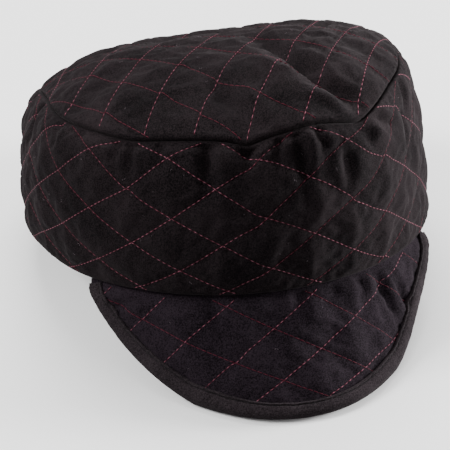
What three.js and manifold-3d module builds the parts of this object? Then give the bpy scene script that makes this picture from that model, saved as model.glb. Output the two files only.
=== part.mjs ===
// A quilted cloth cap with a soft peak: an oval quilted crown top, a tall quilted side band
// and a quilted bill whose outer edge is bound with tape. Millimetres, +Z up, front toward -Y.
// The cap rests by itself on the surface z = 0, on the back of its rim and on the bill's edge.
//
// Every panel is shaped as it is sewn. It starts as a flat padded piece with diamond quilting,
// and a form function then bends that piece into the cap.

import * as THREE from 'three';
import { mergeVertices } from 'three/addons/utils/BufferGeometryUtils.js';
import Module from 'manifold-3d';

const wasm = await Module();
wasm.setup();

// ---------------------------------------------------------------- driving dimensions

const RIM_HALF_WIDTH = 96.2;
const RIM_HALF_LENGTH = 105.8;
const BAND_STRIP_HEIGHT = 89;
const STRIP_RADIUS = (RIM_HALF_WIDTH + RIM_HALF_LENGTH) / 2;

const PANEL_THICKNESS = 3.2;
const SEAM_GAP = 0.35;

const SEAM_HALF_WIDTH = 91.4;
const SEAM_HALF_LENGTH = 89.3;
const SEAM_FORWARD = 10;
const SEAM_LEFTWARD = 3.5;
const SEAM_HEIGHT = { front: 70.5, back: 53, left: 68.5, right: 76 };

// How the seam's oval is pulled out of true by the gathered cloth, one row per wave. The
// sideways pull dies away toward the back of the head.
const SEAM_WAVES = [
  { lobes: 2, forward: 5.9, sideways: 3.5 },
  { lobes: 3, forward: 0.9, sideways: -4.1 },
  { lobes: 4, forward: -1.2, sideways: 3.9 },
];

const BACK_CALM = { from: 95, to: 165, share: 0.8 };

const CROWN_RISE = 22;
const CROWN_FLATNESS = 3.2;

const BAND_LEAN = { mean: -0.6, front: 5.9, right: -2.9 };
const BAND_LEAN_HEIGHT = 0.25;
const SHOULDER_OUT = { mean: 15.1, front: -6 };
const SHOULDER_DROP = 14.7;

const BILL_HALF_ANGLE = 55.7;
const BILL_CUT_RADIUS = 239.6;
const BILL_THICKNESS = 3.2;
const BILL_SLOPE = { middle: 65, ends: 13.8, right: 3.1, rightEnd: -9.3 };

// The bill's reach from the rim, before the two ends are rounded off, one row per station.
const BILL_REACH = [
  { angle: -56, reach: 29.5 },
  { angle: -40, reach: 40 },
  { angle: -24, reach: 50 },
  { angle: -8, reach: 57.5 },
  { angle: 8, reach: 58 },
  { angle: 24, reach: 52.5 },
  { angle: 40, reach: 38 },
  { angle: 56, reach: 26 },
];

const TAPE_WIDTH = 7;
const TAPE_THICKNESS = 1.1;
const TAPE_GAP = 0.4;
const TAPE_UNDER_GAP = 0.75;
const EDGE_STATIONS = 60;
const TAPE_END_STATIONS = 2;

// Diamonds of the quilting: size, and where one stitched crossing lies in the flat piece.
const BAND_DIAMONDS_ROUND = 16;
const BAND_QUILT = {
  width: 2 * Math.PI * STRIP_RADIUS / BAND_DIAMONDS_ROUND,
  height: 27.7,
  across: -8.2,
  along: 45.7,
};
const CROWN_QUILT = { width: 28.9, height: 38.9, across: 4.7, along: -76.7, turn: 6.7 };
const BILL_QUILT = { width: 39.7, height: 25.1, across: -10.1, along: 15.7, turn: 0.5 };
const STEPS_PER_DIAMOND = 6;
const LINING_STEPS_PER_DIAMOND = 3;
const PUFF_HEIGHT = { band: 2.1, crown: 2.3, bill: 1.1 };
const PUFF_FULLNESS = 0.55;

// The crown's cloth is pulled askew toward the seam: sideways and lengthwise shifts.
const CROWN_PULL = {
  sideways: { cross: 12, across: 5.3, along: -19.8, alongCubed: -14 },
  lengthwise: { cross: -3.7, across: 17.8, along: 6.7, alongCubed: -0.6 },
  span: 90,
};

// Dents in the crown, in the flat piece, one row per dent.
const CROWN_DENTS = [
  { across: 18, along: -47, turn: 73, length: 15, width: 7, depth: 3.2 },
  { across: 40, along: -60, turn: 90, length: 14, width: 6.5, depth: 3.2 },
  { across: -18, along: -73, turn: 115, length: 12, width: 8, depth: 2.6 },
  { across: -66, along: -34, turn: 30, length: 20, width: 9, depth: 2 },
  { across: 0, along: 30, turn: 10, length: 40, width: 16, depth: 4 },
];

// Folds and gathers of the band: angle round the head, height up the strip, one row per fold.
const BAND_FOLDS = [
  { angle: 28, height: 76, turn: -55, length: 15, width: 6, depth: 3.2 },
  { angle: -78, height: 80, turn: 80, length: 14, width: 8, depth: 2.6 },
  { angle: -7, height: 87, turn: 90, length: 8, width: 6, depth: 2.4 },
  { angle: -40, height: 78, turn: 90, length: 10, width: 6, depth: 1.6 },
  { angle: 150, height: 50, turn: 5, length: 42, width: 9, depth: 3 },
  { angle: -155, height: 58, turn: -8, length: 36, width: 9, depth: 3 },
];

// Creases of the bill: angle round the rim and distance from it, one row per crease.
const BILL_CREASES = [
  { angle: 27, reach: 12, turn: 20, length: 14, width: 6, depth: 1.8 },
  { angle: -42, reach: 8, turn: -8, length: 16, width: 5, depth: 1.6 },
];

// How the cap sits: it is pitched back until the bill's edge and the back rim both rest.
const PITCH = 12;
const PITCH_LIFT = 20.1;
const PRESS_FADE = 0.35;

// Where the middle of the cap's footprint lies from the middle of its rim.
const FOOTPRINT = { x: -1, y: -17.4 };

const CLOTH = { color: '#232021', roughness: 0.93 };
const BILL_CLOTH = { color: '#1c191d', roughness: 0.9 };
const TAPE_CLOTH = { color: '#201d1e', roughness: 0.9 };

// ---------------------------------------------------------------- small vector helpers

const radians = (degrees) => degrees * Math.PI / 180;
const vector = (x, y, z) => new THREE.Vector3(x, y, z);
const UP = vector(0, 0, 1);

// The way up from the surface, seen in the cap's own unpitched frame.
const TABLE_UP = vector(0, -Math.sin(radians(PITCH)), Math.cos(radians(PITCH)));

/** Height of a point of the unpitched cap above the surface. */
function tableHeight(point) {
  return point.dot(TABLE_UP) + PITCH_LIFT;
}

/** Smooth step from 0 at `start` to 1 at `end`. */
function ease(start, end, value) {
  const t = Math.min(1, Math.max(0, (value - start) / (end - start)));
  return t * t * (3 - 2 * t);
}

/** Depth of all the dents of a table at a place of the flat piece. */
function dentDepth(dents, across, along) {
  let depth = 0;
  for (const dent of dents) {
    const turn = radians(dent.turn);
    const dx = across - dent.across;
    const dy = along - dent.along;
    const lengthwise = (dx * Math.cos(turn) + dy * Math.sin(turn)) / dent.length;
    const widthwise = (dy * Math.cos(turn) - dx * Math.sin(turn)) / dent.width;
    depth += dent.depth * Math.exp(-lengthwise * lengthwise - widthwise * widthwise);
  }
  return depth;
}

/** Unit normal of a surface given by two parameters, pointing out of the cap. */
function surfaceNormal(surface, a, b, stepA, stepB) {
  const alongA = surface(a + stepA, b).sub(surface(a - stepA, b));
  const alongB = surface(a, b + stepB).sub(surface(a, b - stepB));
  return alongA.cross(alongB).normalize();
}

// ---------------------------------------------------------------- form of the cap

/** Point of the rim at an angle round the head, 0 at the front, positive to the right. */
function rimPoint(angle) {
  return vector(RIM_HALF_WIDTH * Math.sin(angle), -RIM_HALF_LENGTH * Math.cos(angle), 0);
}

/** Level direction straight out from the rim. */
function rimOutward(angle) {
  const across = Math.sin(angle) / RIM_HALF_WIDTH;
  const along = -Math.cos(angle) / RIM_HALF_LENGTH;
  return vector(across, along, 0).normalize();
}

/** Point of the crown top; `share` is 0 at its middle and 1 at the seam. */
function crownAt(share, angle) {
  let pull = 0;
  const round = THREE.MathUtils.radToDeg(Math.acos(Math.cos(angle)));
  const calm = 1 - BACK_CALM.share * ease(BACK_CALM.from, BACK_CALM.to, round);
  for (const wave of SEAM_WAVES) {
    const turned = wave.lobes * angle;
    const size = wave.forward * Math.cos(turned) + calm * wave.sideways * Math.sin(turned);
    pull += size * share ** wave.lobes;
  }
  const { front, back, left, right } = SEAM_HEIGHT;
  const height = (front + back + left + right) / 4
    + share * (front - back) / 2 * Math.cos(angle)
    + share * (right - left) / 2 * Math.sin(angle)
    + share ** 2 * (front + back - left - right) / 4 * Math.cos(2 * angle)
    + CROWN_RISE * (1 - share ** CROWN_FLATNESS);
  return vector(
    (share * SEAM_HALF_WIDTH + pull) * Math.sin(angle) - SEAM_LEFTWARD * share ** 2,
    -(share * SEAM_HALF_LENGTH + pull) * Math.cos(angle) - SEAM_FORWARD,
    height,
  );
}

/** Share and angle of a place of the flat crown piece. */
function crownPlace(across, along) {
  const x = across / SEAM_HALF_WIDTH;
  const y = -along / SEAM_HALF_LENGTH;
  return { share: Math.hypot(x, y), angle: Math.atan2(x, y) };
}

/** Crown surface over the flat crown piece. */
function crownSurface(across, along) {
  const { share, angle } = crownPlace(across, along);
  return crownAt(share, angle);
}

/** Band surface; `share` is 0 at the rim and 1 at the seam. */
function bandSurface(angle, share) {
  const foot = rimPoint(angle);
  const head = crownAt(1, angle);
  const outward = rimOutward(angle);
  const lean = BAND_LEAN.mean + BAND_LEAN.front * Math.cos(angle) + BAND_LEAN.right * Math.sin(angle);
  const shoulder = SHOULDER_OUT.mean + SHOULDER_OUT.front * Math.cos(angle);
  const low = foot.clone().addScaledVector(outward, lean);
  low.addScaledVector(UP, BAND_LEAN_HEIGHT * (head.z - foot.z));
  const high = head.clone().addScaledVector(outward, shoulder);
  high.addScaledVector(UP, -SHOULDER_DROP);
  return new THREE.CubicBezierCurve3(foot, low, high, head).getPoint(share);
}

/** Direction out of both panels at the seam, halfway between their faces. */
function seamOutward(angle) {
  const place = 0.985;
  const across = place * SEAM_HALF_WIDTH * Math.sin(angle);
  const along = -place * SEAM_HALF_LENGTH * Math.cos(angle);
  const crown = surfaceNormal(crownSurface, across, along, 0.5, 0.5);
  const band = surfaceNormal(bandSurface, angle, 0.98, 0.01, 0.01);
  return crown.add(band).normalize();
}

/** Direction across the seam, from the band to the crown. */
function seamAcross(angle) {
  const ahead = crownAt(1, angle + 0.01).sub(crownAt(1, angle - 0.01));
  return seamOutward(angle).cross(ahead).normalize();
}

/** Body point of the crown: a place in the flat piece and a height over its stitch level. */
function formCrown(across, along, height) {
  const { share, angle } = crownPlace(across, along);
  const edge = ease(0.86, 1, share);
  const outward = surfaceNormal(crownSurface, across, along, 0.5, 0.5);
  if (edge > 0) {
    outward.lerp(seamOutward(angle), edge).normalize();
  }
  const dent = dentDepth(CROWN_DENTS, across, along) * (1 - edge);
  const point = crownSurface(across, along).addScaledVector(outward, height - dent);
  if (edge > 0) {
    point.addScaledVector(seamAcross(angle), SEAM_GAP / 2 * edge);
  }
  return point;
}

/** Body point of the band: angle, height up the strip and height over its stitch level. */
function formBand(angle, up, height) {
  const share = up / BAND_STRIP_HEIGHT;
  const top = ease(0.82, 1, share);
  const foot = ease(0.18, 0, share);
  const outward = surfaceNormal(bandSurface, angle, share, 0.01, 0.01);
  if (top > 0) {
    outward.lerp(seamOutward(angle), top).normalize();
  }
  outward.lerp(rimOutward(angle), foot).normalize();
  const degreesRound = THREE.MathUtils.radToDeg(angle);
  let fold = 0;
  for (const row of BAND_FOLDS) {
    const turns = Math.round((degreesRound - row.angle) / 360);
    const across = radians(degreesRound - row.angle - 360 * turns) * STRIP_RADIUS;
    fold += dentDepth([{ ...row, across: 0, along: row.height }], across, up);
  }
  const point = bandSurface(angle, share);
  point.addScaledVector(outward, height - fold * (1 - top) * (1 - foot));
  if (top > 0) {
    point.addScaledVector(seamAcross(angle), -SEAM_GAP / 2 * top);
  }
  // The back of the rim is pressed flat where it rests.
  const sunk = -tableHeight(rimPoint(angle).addScaledVector(rimOutward(angle), height));
  if (sunk > 0) {
    point.addScaledVector(TABLE_UP, sunk * (1 - ease(0, PRESS_FADE, share)));
  }
  return point;
}

/** Bill surface: angle round the rim and distance from it down the bill. */
function billSurface(angle, distance) {
  const turn = Math.max(-1, Math.min(1, angle / radians(BILL_HALF_ANGLE)));
  const slope = radians(BILL_SLOPE.middle + BILL_SLOPE.ends * turn ** 2
    + BILL_SLOPE.right * turn + BILL_SLOPE.rightEnd * turn ** 3);
  return rimPoint(angle)
    .addScaledVector(rimOutward(angle), distance * Math.cos(slope))
    .addScaledVector(UP, -distance * Math.sin(slope));
}

/** Reach of the bill from the rim at an angle, smoothly through the stations. */
function billReach(angle) {
  const turn = Math.max(-1, Math.min(1, angle / radians(BILL_HALF_ANGLE)));
  const degreesRound = THREE.MathUtils.radToDeg(angle);
  const spacing = BILL_REACH[1].angle - BILL_REACH[0].angle;
  const place = (degreesRound - BILL_REACH[0].angle) / spacing;
  const index = Math.max(0, Math.min(BILL_REACH.length - 2, Math.floor(place)));
  const at = (i) => BILL_REACH[Math.max(0, Math.min(BILL_REACH.length - 1, i))].reach;
  const f = place - index;
  const slopeHere = (at(index + 1) - at(index - 1)) / 2;
  const slopeNext = (at(index + 2) - at(index)) / 2;
  const reach = at(index) * (1 + 2 * f) * (1 - f) ** 2 + slopeHere * f * (1 - f) ** 2
    + at(index + 1) * f * f * (3 - 2 * f) + slopeNext * f * f * (f - 1);
  return reach * Math.sqrt(Math.max(0, 1 - turn ** 2));
}

/** Place in the flat bill piece, which is cut as part of a wide ring. */
function billFlat(angle, distance) {
  const turn = angle * STRIP_RADIUS / BILL_CUT_RADIUS;
  const radius = BILL_CUT_RADIUS + distance;
  return { across: radius * Math.sin(turn), along: radius * Math.cos(turn) - BILL_CUT_RADIUS };
}

/** Angle and distance from the rim of a place in the flat bill piece. */
function billPlace(across, along) {
  const radius = Math.hypot(across, along + BILL_CUT_RADIUS);
  const turn = Math.atan2(across, along + BILL_CUT_RADIUS);
  return { angle: turn * BILL_CUT_RADIUS / STRIP_RADIUS, distance: radius - BILL_CUT_RADIUS };
}

// The lowest fold of the bill's tape, out from the cut edge and over the stitch level.
const TAPE_FOLD = { out: 0.9, height: -BILL_THICKNESS - TAPE_UNDER_GAP - 0.1 };

/** Body point of the bill or its tape: a place in the flat piece and a height over it. */
function formBill(across, along, height) {
  const { angle, distance } = billPlace(across, along);
  const outward = surfaceNormal(billSurface, angle, distance, 0.01, 0.5).negate();
  let crease = 0;
  for (const row of BILL_CREASES) {
    const place = billFlat(radians(row.angle), row.reach);
    crease += dentDepth([{ ...row, ...place }], across, along);
  }
  const shallow = ease(0, 6, distance);
  const point = billSurface(angle, distance).addScaledVector(outward, height - crease * shallow);
  // The bill's edge gives a little where it touches the surface.
  const reach = Math.max(1, billReach(angle));
  const lowest = billSurface(angle, reach + TAPE_FOLD.out);
  const sunk = 0.11 - tableHeight(lowest.addScaledVector(outward, TAPE_FOLD.height));
  if (sunk > 0) {
    point.addScaledVector(TABLE_UP, sunk * Math.min(1, distance / reach) ** 2);
  }
  return point;
}

// ---------------------------------------------------------------- quilting

/** Height of one puffed diamond over its stitch lines. */
function puff(quilt, height, across, along) {
  const turn = radians(quilt.turn ?? 0);
  const dx = across - quilt.across;
  const dy = along - quilt.along;
  const u = (dx * Math.cos(turn) + dy * Math.sin(turn)) / quilt.width;
  const v = (dy * Math.cos(turn) - dx * Math.sin(turn)) / quilt.height;
  const swell = Math.abs(Math.sin(Math.PI * (u + v)) * Math.sin(Math.PI * (u - v)));
  return height * swell ** PUFF_FULLNESS;
}

/** Splits one cell of a quilting grid along the stitch line that crosses it. */
function splitCell(triangles, i, j, a, b, c, d, steps) {
  if ((i + j + 1) % steps === 0) {
    triangles.push([a, b, d], [b, c, d]);
  } else {
    triangles.push([a, b, c], [a, c, d]);
  }
}

/** Closed solid from points and triangles. */
function geometryOf(points, triangles) {
  const geometry = new THREE.BufferGeometry();
  const numbers = points.flatMap((point) => [point.x, point.y, point.z]);
  geometry.setAttribute('position', new THREE.Float32BufferAttribute(numbers, 3));
  geometry.setIndex(triangles.flat());
  geometry.computeVertexNormals();
  return geometry;
}

/** Solid for joining and cutting. */
function solidOf(geometry) {
  const bare = geometry.clone();
  bare.deleteAttribute('normal');
  bare.deleteAttribute('uv');
  const merged = mergeVertices(bare, 1e-4);
  return new wasm.Manifold(new wasm.Mesh({
    numProp: 3,
    vertProperties: new Float32Array(merged.attributes.position.array),
    triVerts: new Uint32Array(merged.index.array),
  }));
}

// A shallow bowl under the flat pieces keeps every grid point through the cutting.
const BOWL = 1 / 4000;

/** Height of that bowl. */
function bowl(across, along) {
  return BOWL * (across * across + along * along);
}

/**
 * Flat padded cloth, larger than the piece that is cut from it: quilted on top with
 * `topHeight`, smooth underneath. `place` turns quilting steps into a place of the piece.
 */
function paddedCloth(place, topHeight, thickness, range) {
  const points = [];
  const triangles = [];
  const addFace = (step, heightAt, facingUp) => {
    const first = points.length;
    const columns = (range.right - range.left) / step + 1;
    const rows = (range.far - range.near) / step + 1;
    for (let j = 0; j < rows; j += 1) {
      for (let i = 0; i < columns; i += 1) {
        const { across, along } = place(range.left + i * step, range.near + j * step);
        points.push(vector(across, along, heightAt(across, along) + bowl(across, along)));
      }
    }
    for (let j = 0; j < rows - 1; j += 1) {
      for (let i = 0; i < columns - 1; i += 1) {
        const a = first + j * columns + i;
        const cell = [];
        const steps = STEPS_PER_DIAMOND / step;
        const left = Math.round(range.left / step) + i + 600;
        const near = Math.round(range.near / step) + j + 600;
        splitCell(cell, left, near, a, a + 1, a + columns + 1, a + columns, steps);
        triangles.push(...(facingUp ? cell : cell.map(([p, q, r]) => [p, r, q])));
      }
    }
    return { first, columns, rows };
  };
  const liningStep = STEPS_PER_DIAMOND / LINING_STEPS_PER_DIAMOND;
  const top = addFace(1, topHeight, true);
  const under = addFace(liningStep, () => -thickness, false);
  const ring = (face) => {
    const at = (i, j) => face.first + j * face.columns + i;
    const corners = [];
    for (let i = 0; i < face.columns - 1; i += 1) corners.push(at(i, 0));
    for (let j = 0; j < face.rows - 1; j += 1) corners.push(at(face.columns - 1, j));
    for (let i = face.columns - 1; i > 0; i -= 1) corners.push(at(i, face.rows - 1));
    for (let j = face.rows - 1; j > 0; j -= 1) corners.push(at(0, j));
    return corners;
  };
  const upper = ring(top);
  const lower = ring(under);
  for (let k = 0; k < lower.length; k += 1) {
    const lowHere = lower[k];
    const lowNext = lower[(k + 1) % lower.length];
    for (let s = 0; s < liningStep; s += 1) {
      const here = upper[k * liningStep + s];
      const next = upper[(k * liningStep + s + 1) % upper.length];
      triangles.push([lowHere, next, here]);
    }
    triangles.push([lowHere, lowNext, upper[((k + 1) * liningStep) % upper.length]]);
  }
  return geometryOf(points, triangles);
}

/** Upright block with a given outline in the plane of the flat pieces. */
function outlineBlock(outline) {
  const shape = new THREE.Shape(outline.map(({ across, along }) => new THREE.Vector2(across, along)));
  const block = new THREE.ExtrudeGeometry(shape, { depth: 40, bevelEnabled: false });
  return block.translate(0, 0, -15);
}

/**
 * Cuts a piece to its outline and bends it into shape. The flat bill piece is drawn with its
 * length running away from the head, so it is `mirrored` and its triangles are turned over.
 */
function cutAndForm(cloth, outline, form, mirrored = false) {
  const cut = solidOf(cloth).intersect(solidOf(outlineBlock(outline))).getMesh();
  const points = [];
  for (let k = 0; k < cut.vertProperties.length; k += cut.numProp) {
    const across = cut.vertProperties[k];
    const along = cut.vertProperties[k + 1];
    points.push(form(across, along, cut.vertProperties[k + 2] - bowl(across, along)));
  }
  const triangles = [];
  for (let k = 0; k < cut.triVerts.length; k += 3) {
    const corners = [cut.triVerts[k], cut.triVerts[k + 1], cut.triVerts[k + 2]];
    triangles.push(mirrored ? corners.reverse() : corners);
  }
  return geometryOf(points, triangles);
}

// ---------------------------------------------------------------- crown top

/** Place of a quilting step in the flat crown piece, with the cloth pulled askew. */
function crownQuiltPlace(i, j) {
  const u = i * CROWN_QUILT.width / STEPS_PER_DIAMOND;
  const v = j * CROWN_QUILT.height / STEPS_PER_DIAMOND;
  const turn = radians(CROWN_QUILT.turn);
  const across = CROWN_QUILT.across + u * Math.cos(turn) - v * Math.sin(turn);
  const along = CROWN_QUILT.along + u * Math.sin(turn) + v * Math.cos(turn);
  const a = across / CROWN_PULL.span;
  const b = Math.min(0, along / CROWN_PULL.span);
  const shift = (pull) => pull.cross * a * b + pull.across * a * a
    + pull.along * b * b + pull.alongCubed * b ** 3;
  return {
    across: across + shift(CROWN_PULL.sideways),
    along: along + shift(CROWN_PULL.lengthwise),
    u: i / STEPS_PER_DIAMOND,
    v: j / STEPS_PER_DIAMOND,
  };
}

function makeCrownTop() {
  const range = { left: -30, right: 24, near: -12, far: 30 };
  const heights = new Map();
  const keyOf = (across, along) => `${across.toFixed(3)},${along.toFixed(3)}`;
  const place = (i, j) => {
    const spot = crownQuiltPlace(i, j);
    const { share } = crownPlace(spot.across, spot.along);
    const swell = Math.abs(Math.sin(Math.PI * (spot.u + spot.v)) * Math.sin(Math.PI * (spot.u - spot.v)));
    const held = ease(1.02, 0.9, share);
    heights.set(keyOf(spot.across, spot.along), PUFF_HEIGHT.crown * held * swell ** PUFF_FULLNESS);
    return spot;
  };
  const topHeight = (across, along) => heights.get(keyOf(across, along));
  const cloth = paddedCloth(place, topHeight, PANEL_THICKNESS, range);
  const outline = [];
  const sides = 90;
  for (let k = 0; k < sides; k += 1) {
    const angle = 2 * Math.PI * k / sides;
    outline.push({
      across: SEAM_HALF_WIDTH * Math.sin(angle),
      along: -SEAM_HALF_LENGTH * Math.cos(angle),
    });
  }
  return cutAndForm(cloth, outline, formCrown);
}

// ---------------------------------------------------------------- side band

function makeSideBand() {
  const columns = BAND_DIAMONDS_ROUND * STEPS_PER_DIAMOND;
  const rowStep = BAND_QUILT.height / STEPS_PER_DIAMOND;
  const firstRow = Math.ceil((1.5 - BAND_QUILT.along) / rowStep);
  const lastRow = Math.floor((BAND_STRIP_HEIGHT - 1.5 - BAND_QUILT.along) / rowStep);
  const outerRows = [{ up: 0, step: firstRow - 1 }];
  for (let row = firstRow; row <= lastRow; row += 1) {
    outerRows.push({ up: BAND_QUILT.along + row * rowStep, step: row });
  }
  outerRows.push({ up: BAND_STRIP_HEIGHT, step: lastRow + 1 });
  const liningRows = [BAND_STRIP_HEIGHT, 70, 45, 20, 0];
  const points = [];
  const angleOf = (i) => (BAND_QUILT.across + i * BAND_QUILT.width / STEPS_PER_DIAMOND) / STRIP_RADIUS;
  for (const { up } of outerRows) {
    const held = ease(0, 9, up) * ease(BAND_STRIP_HEIGHT, BAND_STRIP_HEIGHT - 9, up);
    for (let i = 0; i < columns; i += 1) {
      const swell = puff(BAND_QUILT, PUFF_HEIGHT.band, angleOf(i) * STRIP_RADIUS, up);
      points.push(formBand(angleOf(i), up, held * swell));
    }
  }
  for (const up of liningRows) {
    for (let i = 0; i < columns; i += 1) {
      points.push(formBand(angleOf(i), up, -PANEL_THICKNESS));
    }
  }
  const rows = outerRows.length + liningRows.length;
  const triangles = [];
  for (let j = 0; j < rows; j += 1) {
    for (let i = 0; i < columns; i += 1) {
      const next = (i + 1) % columns;
      const above = (j + 1) % rows;
      const step = (outerRows[j]?.step ?? 0) + 600;
      const corners = [j * columns + i, j * columns + next, above * columns + next, above * columns + i];
      splitCell(triangles, i + 600, step, ...corners, STEPS_PER_DIAMOND);
    }
  }
  return geometryOf(points, triangles);
}

// ---------------------------------------------------------------- bill and its binding

/** Place of the bill's cut edge in the flat piece, a share of the way round it. */
function billEdge(share) {
  const angle = radians(BILL_HALF_ANGLE) * Math.sin(Math.PI / 2 * (2 * share - 1));
  return billFlat(angle, billReach(angle));
}

function makeBill() {
  const turn = radians(BILL_QUILT.turn);
  const place = (i, j) => {
    const u = i * BILL_QUILT.width / STEPS_PER_DIAMOND;
    const v = j * BILL_QUILT.height / STEPS_PER_DIAMOND;
    return {
      across: BILL_QUILT.across + u * Math.cos(turn) - v * Math.sin(turn),
      along: BILL_QUILT.along + u * Math.sin(turn) + v * Math.cos(turn),
    };
  };
  const edge = [];
  for (let k = 1; k < EDGE_STATIONS; k += 1) {
    edge.push(billEdge(k / EDGE_STATIONS));
  }
  const root = [];
  const rootSteps = 36;
  const rootAngle = radians(BILL_HALF_ANGLE) * Math.sin(Math.PI / 2 * (1 - 2 / EDGE_STATIONS));
  for (let k = 0; k <= rootSteps; k += 1) {
    root.push(billFlat(rootAngle * (1 - 2 * k / rootSteps), SEAM_GAP + 0.1));
  }
  const topHeight = (across, along) => {
    const { angle, distance } = billPlace(across, along);
    const fromRim = ease(0, 8, distance);
    const fromTape = ease(TAPE_WIDTH - 1, TAPE_WIDTH + 7, billReach(angle) - distance);
    return fromRim * fromTape * puff(BILL_QUILT, PUFF_HEIGHT.bill, across, along);
  };
  const range = { left: -18, right: 24, near: -24, far: 18 };
  const cloth = paddedCloth(place, topHeight, BILL_THICKNESS, range);
  return cutAndForm(cloth, [...edge, ...root], formBill, true);
}

function makeBillBinding() {
  const over = TAPE_GAP + TAPE_THICKNESS;
  const under = -BILL_THICKNESS - TAPE_UNDER_GAP;
  const middle = -BILL_THICKNESS / 2;
  // The tape's folded section: out across the edge, and up over the bill's outer face.
  const section = [
    { out: -TAPE_WIDTH, height: over },
    { out: -0.6, height: over },
    { out: TAPE_FOLD.out, height: 0.5 },
    { out: over, height: middle },
    TAPE_FOLD,
    { out: -0.6, height: under - TAPE_THICKNESS },
    { out: -TAPE_WIDTH, height: under - TAPE_THICKNESS },
    { out: -TAPE_WIDTH, height: under },
    { out: 0.2, height: under },
    { out: TAPE_GAP, height: middle },
    { out: 0.2, height: TAPE_GAP },
    { out: -TAPE_WIDTH, height: TAPE_GAP },
  ];
  const stations = EDGE_STATIONS - 2 * TAPE_END_STATIONS;
  const points = [];
  for (let k = 0; k <= stations; k += 1) {
    const share = (k + TAPE_END_STATIONS) / EDGE_STATIONS;
    const here = billEdge(share);
    const ahead = billEdge(share + 0.002);
    const behind = billEdge(share - 0.002);
    const across = ahead.across - behind.across;
    const along = ahead.along - behind.along;
    const size = Math.hypot(across, along);
    for (const { out, height } of section) {
      points.push(formBill(
        here.across - out * along / size,
        here.along + out * across / size,
        height,
      ));
    }
  }
  const count = section.length;
  const triangles = [];
  for (let k = 0; k < stations; k += 1) {
    for (let s = 0; s < count; s += 1) {
      const next = (s + 1) % count;
      const a = k * count + s;
      const b = k * count + next;
      triangles.push([a, b, b + count], [a, b + count, a + count]);
    }
  }
  // Each end of the tape is closed across its folded section.
  for (let s = 0; s < count / 2 - 1; s += 1) {
    const outer = [s, s + 1];
    const inner = [count - 1 - s, count - 2 - s];
    const last = stations * count;
    triangles.push([outer[0], inner[1], outer[1]], [outer[0], inner[0], inner[1]]);
    triangles.push([last + outer[0], last + outer[1], last + inner[1]]);
    triangles.push([last + outer[0], last + inner[1], last + inner[0]]);
  }
  return geometryOf(points, triangles);
}

// ---------------------------------------------------------------- the cap

/** Named piece of the cap with its own cloth. */
function piece(name, geometry, cloth) {
  const material = new THREE.MeshStandardMaterial({ ...cloth, metalness: 0 });
  const mesh = new THREE.Mesh(geometry, material);
  mesh.name = name;
  return mesh;
}

const crown = new THREE.Group();
crown.add(piece('crown_top', makeCrownTop(), CLOTH));
crown.add(piece('side_band', makeSideBand(), CLOTH));

const peak = new THREE.Group();
peak.add(piece('bill', makeBill(), BILL_CLOTH));
peak.add(piece('bill_binding', makeBillBinding(), TAPE_CLOTH));

// The whole cap is pitched back and lifted until it rests on the surface.
const group = new THREE.Group();
group.add(crown, peak);
group.rotation.x = -radians(PITCH);
group.position.set(-FOOTPRINT.x, -FOOTPRINT.y, PITCH_LIFT);

export default group;
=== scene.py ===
"""A quilted peaked cap of black cotton, slouched and resting by itself on a pale floor.

The cap is an oval quilted crown top, a tall quilted side band, a short quilted bill and a tape
folded over the bill's edge, all sewn with a pinkish red quilting thread. Every panel starts as
a flat padded piece, as it is cut and quilted, and a form function bends it into the cap.
"""
from __future__ import annotations

import logging
import math
from collections.abc import Callable
from dataclasses import dataclass, field
from enum import Enum

import bmesh
import bpy
import numpy as np
from mathutils import Matrix, Vector
from mathutils.bvhtree import BVHTree


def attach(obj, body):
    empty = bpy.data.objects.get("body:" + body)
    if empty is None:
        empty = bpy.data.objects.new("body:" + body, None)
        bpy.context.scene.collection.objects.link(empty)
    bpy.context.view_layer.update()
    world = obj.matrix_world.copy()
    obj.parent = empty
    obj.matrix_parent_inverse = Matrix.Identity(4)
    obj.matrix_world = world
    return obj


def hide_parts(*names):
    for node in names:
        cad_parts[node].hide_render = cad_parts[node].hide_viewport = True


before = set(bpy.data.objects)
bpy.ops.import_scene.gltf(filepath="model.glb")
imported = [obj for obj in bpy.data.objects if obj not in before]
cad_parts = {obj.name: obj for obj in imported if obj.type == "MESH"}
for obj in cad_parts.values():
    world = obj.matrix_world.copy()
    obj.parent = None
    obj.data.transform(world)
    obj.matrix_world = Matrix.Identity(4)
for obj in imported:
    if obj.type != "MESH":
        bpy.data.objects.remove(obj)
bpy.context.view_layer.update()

LOG = logging.getLogger("quilted_cap")
MILLIMETRE = 0.001
UP = np.array([0.0, 0.0, 1.0])
# Numbers of the colour sockets of a Mix node, whose names stand for several sockets.
MIX_A, MIX_B, MIX_RESULT = 6, 7, 2
# Steps by which normals are measured: of angles and shares, and of lengths in millimetres.
SMALL, STEP = 0.01, 0.5
# How near a point lies to a stitch line, and points to each other, to count as on it or one.
ON_LINE, WELD = 0.02, 0.02


# ------------------------------------------------------------------ small helpers


def ease(start: float, end: float, value: np.ndarray) -> np.ndarray:
    """Step smoothly from 0 to 1.

    Args:
        start: Value where the result is 0.
        end: Value where the result is 1; it may be below start.
        value: Values to ease.

    Returns:
        The eased values, from 0 to 1.
    """
    t = np.clip((value - start) / (end - start), 0.0, 1.0)
    return t * t * (3.0 - 2.0 * t)


def unit(vectors: np.ndarray) -> np.ndarray:
    """Return the vectors at length one."""
    return vectors / np.maximum(np.linalg.norm(vectors, axis=-1, keepdims=True), 1e-12)


def put_in_object_mode() -> None:
    """Leave edit mode and select nothing."""
    if bpy.context.object is not None and bpy.context.object.mode != "OBJECT":
        bpy.ops.object.mode_set(mode="OBJECT")
    bpy.ops.object.select_all(action="DESELECT")


def make_active(piece: bpy.types.Object) -> None:
    """Select only one piece and make it the active one.

    Args:
        piece: The piece.
    """
    put_in_object_mode()
    piece.select_set(True)
    bpy.context.view_layer.objects.active = piece


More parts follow.
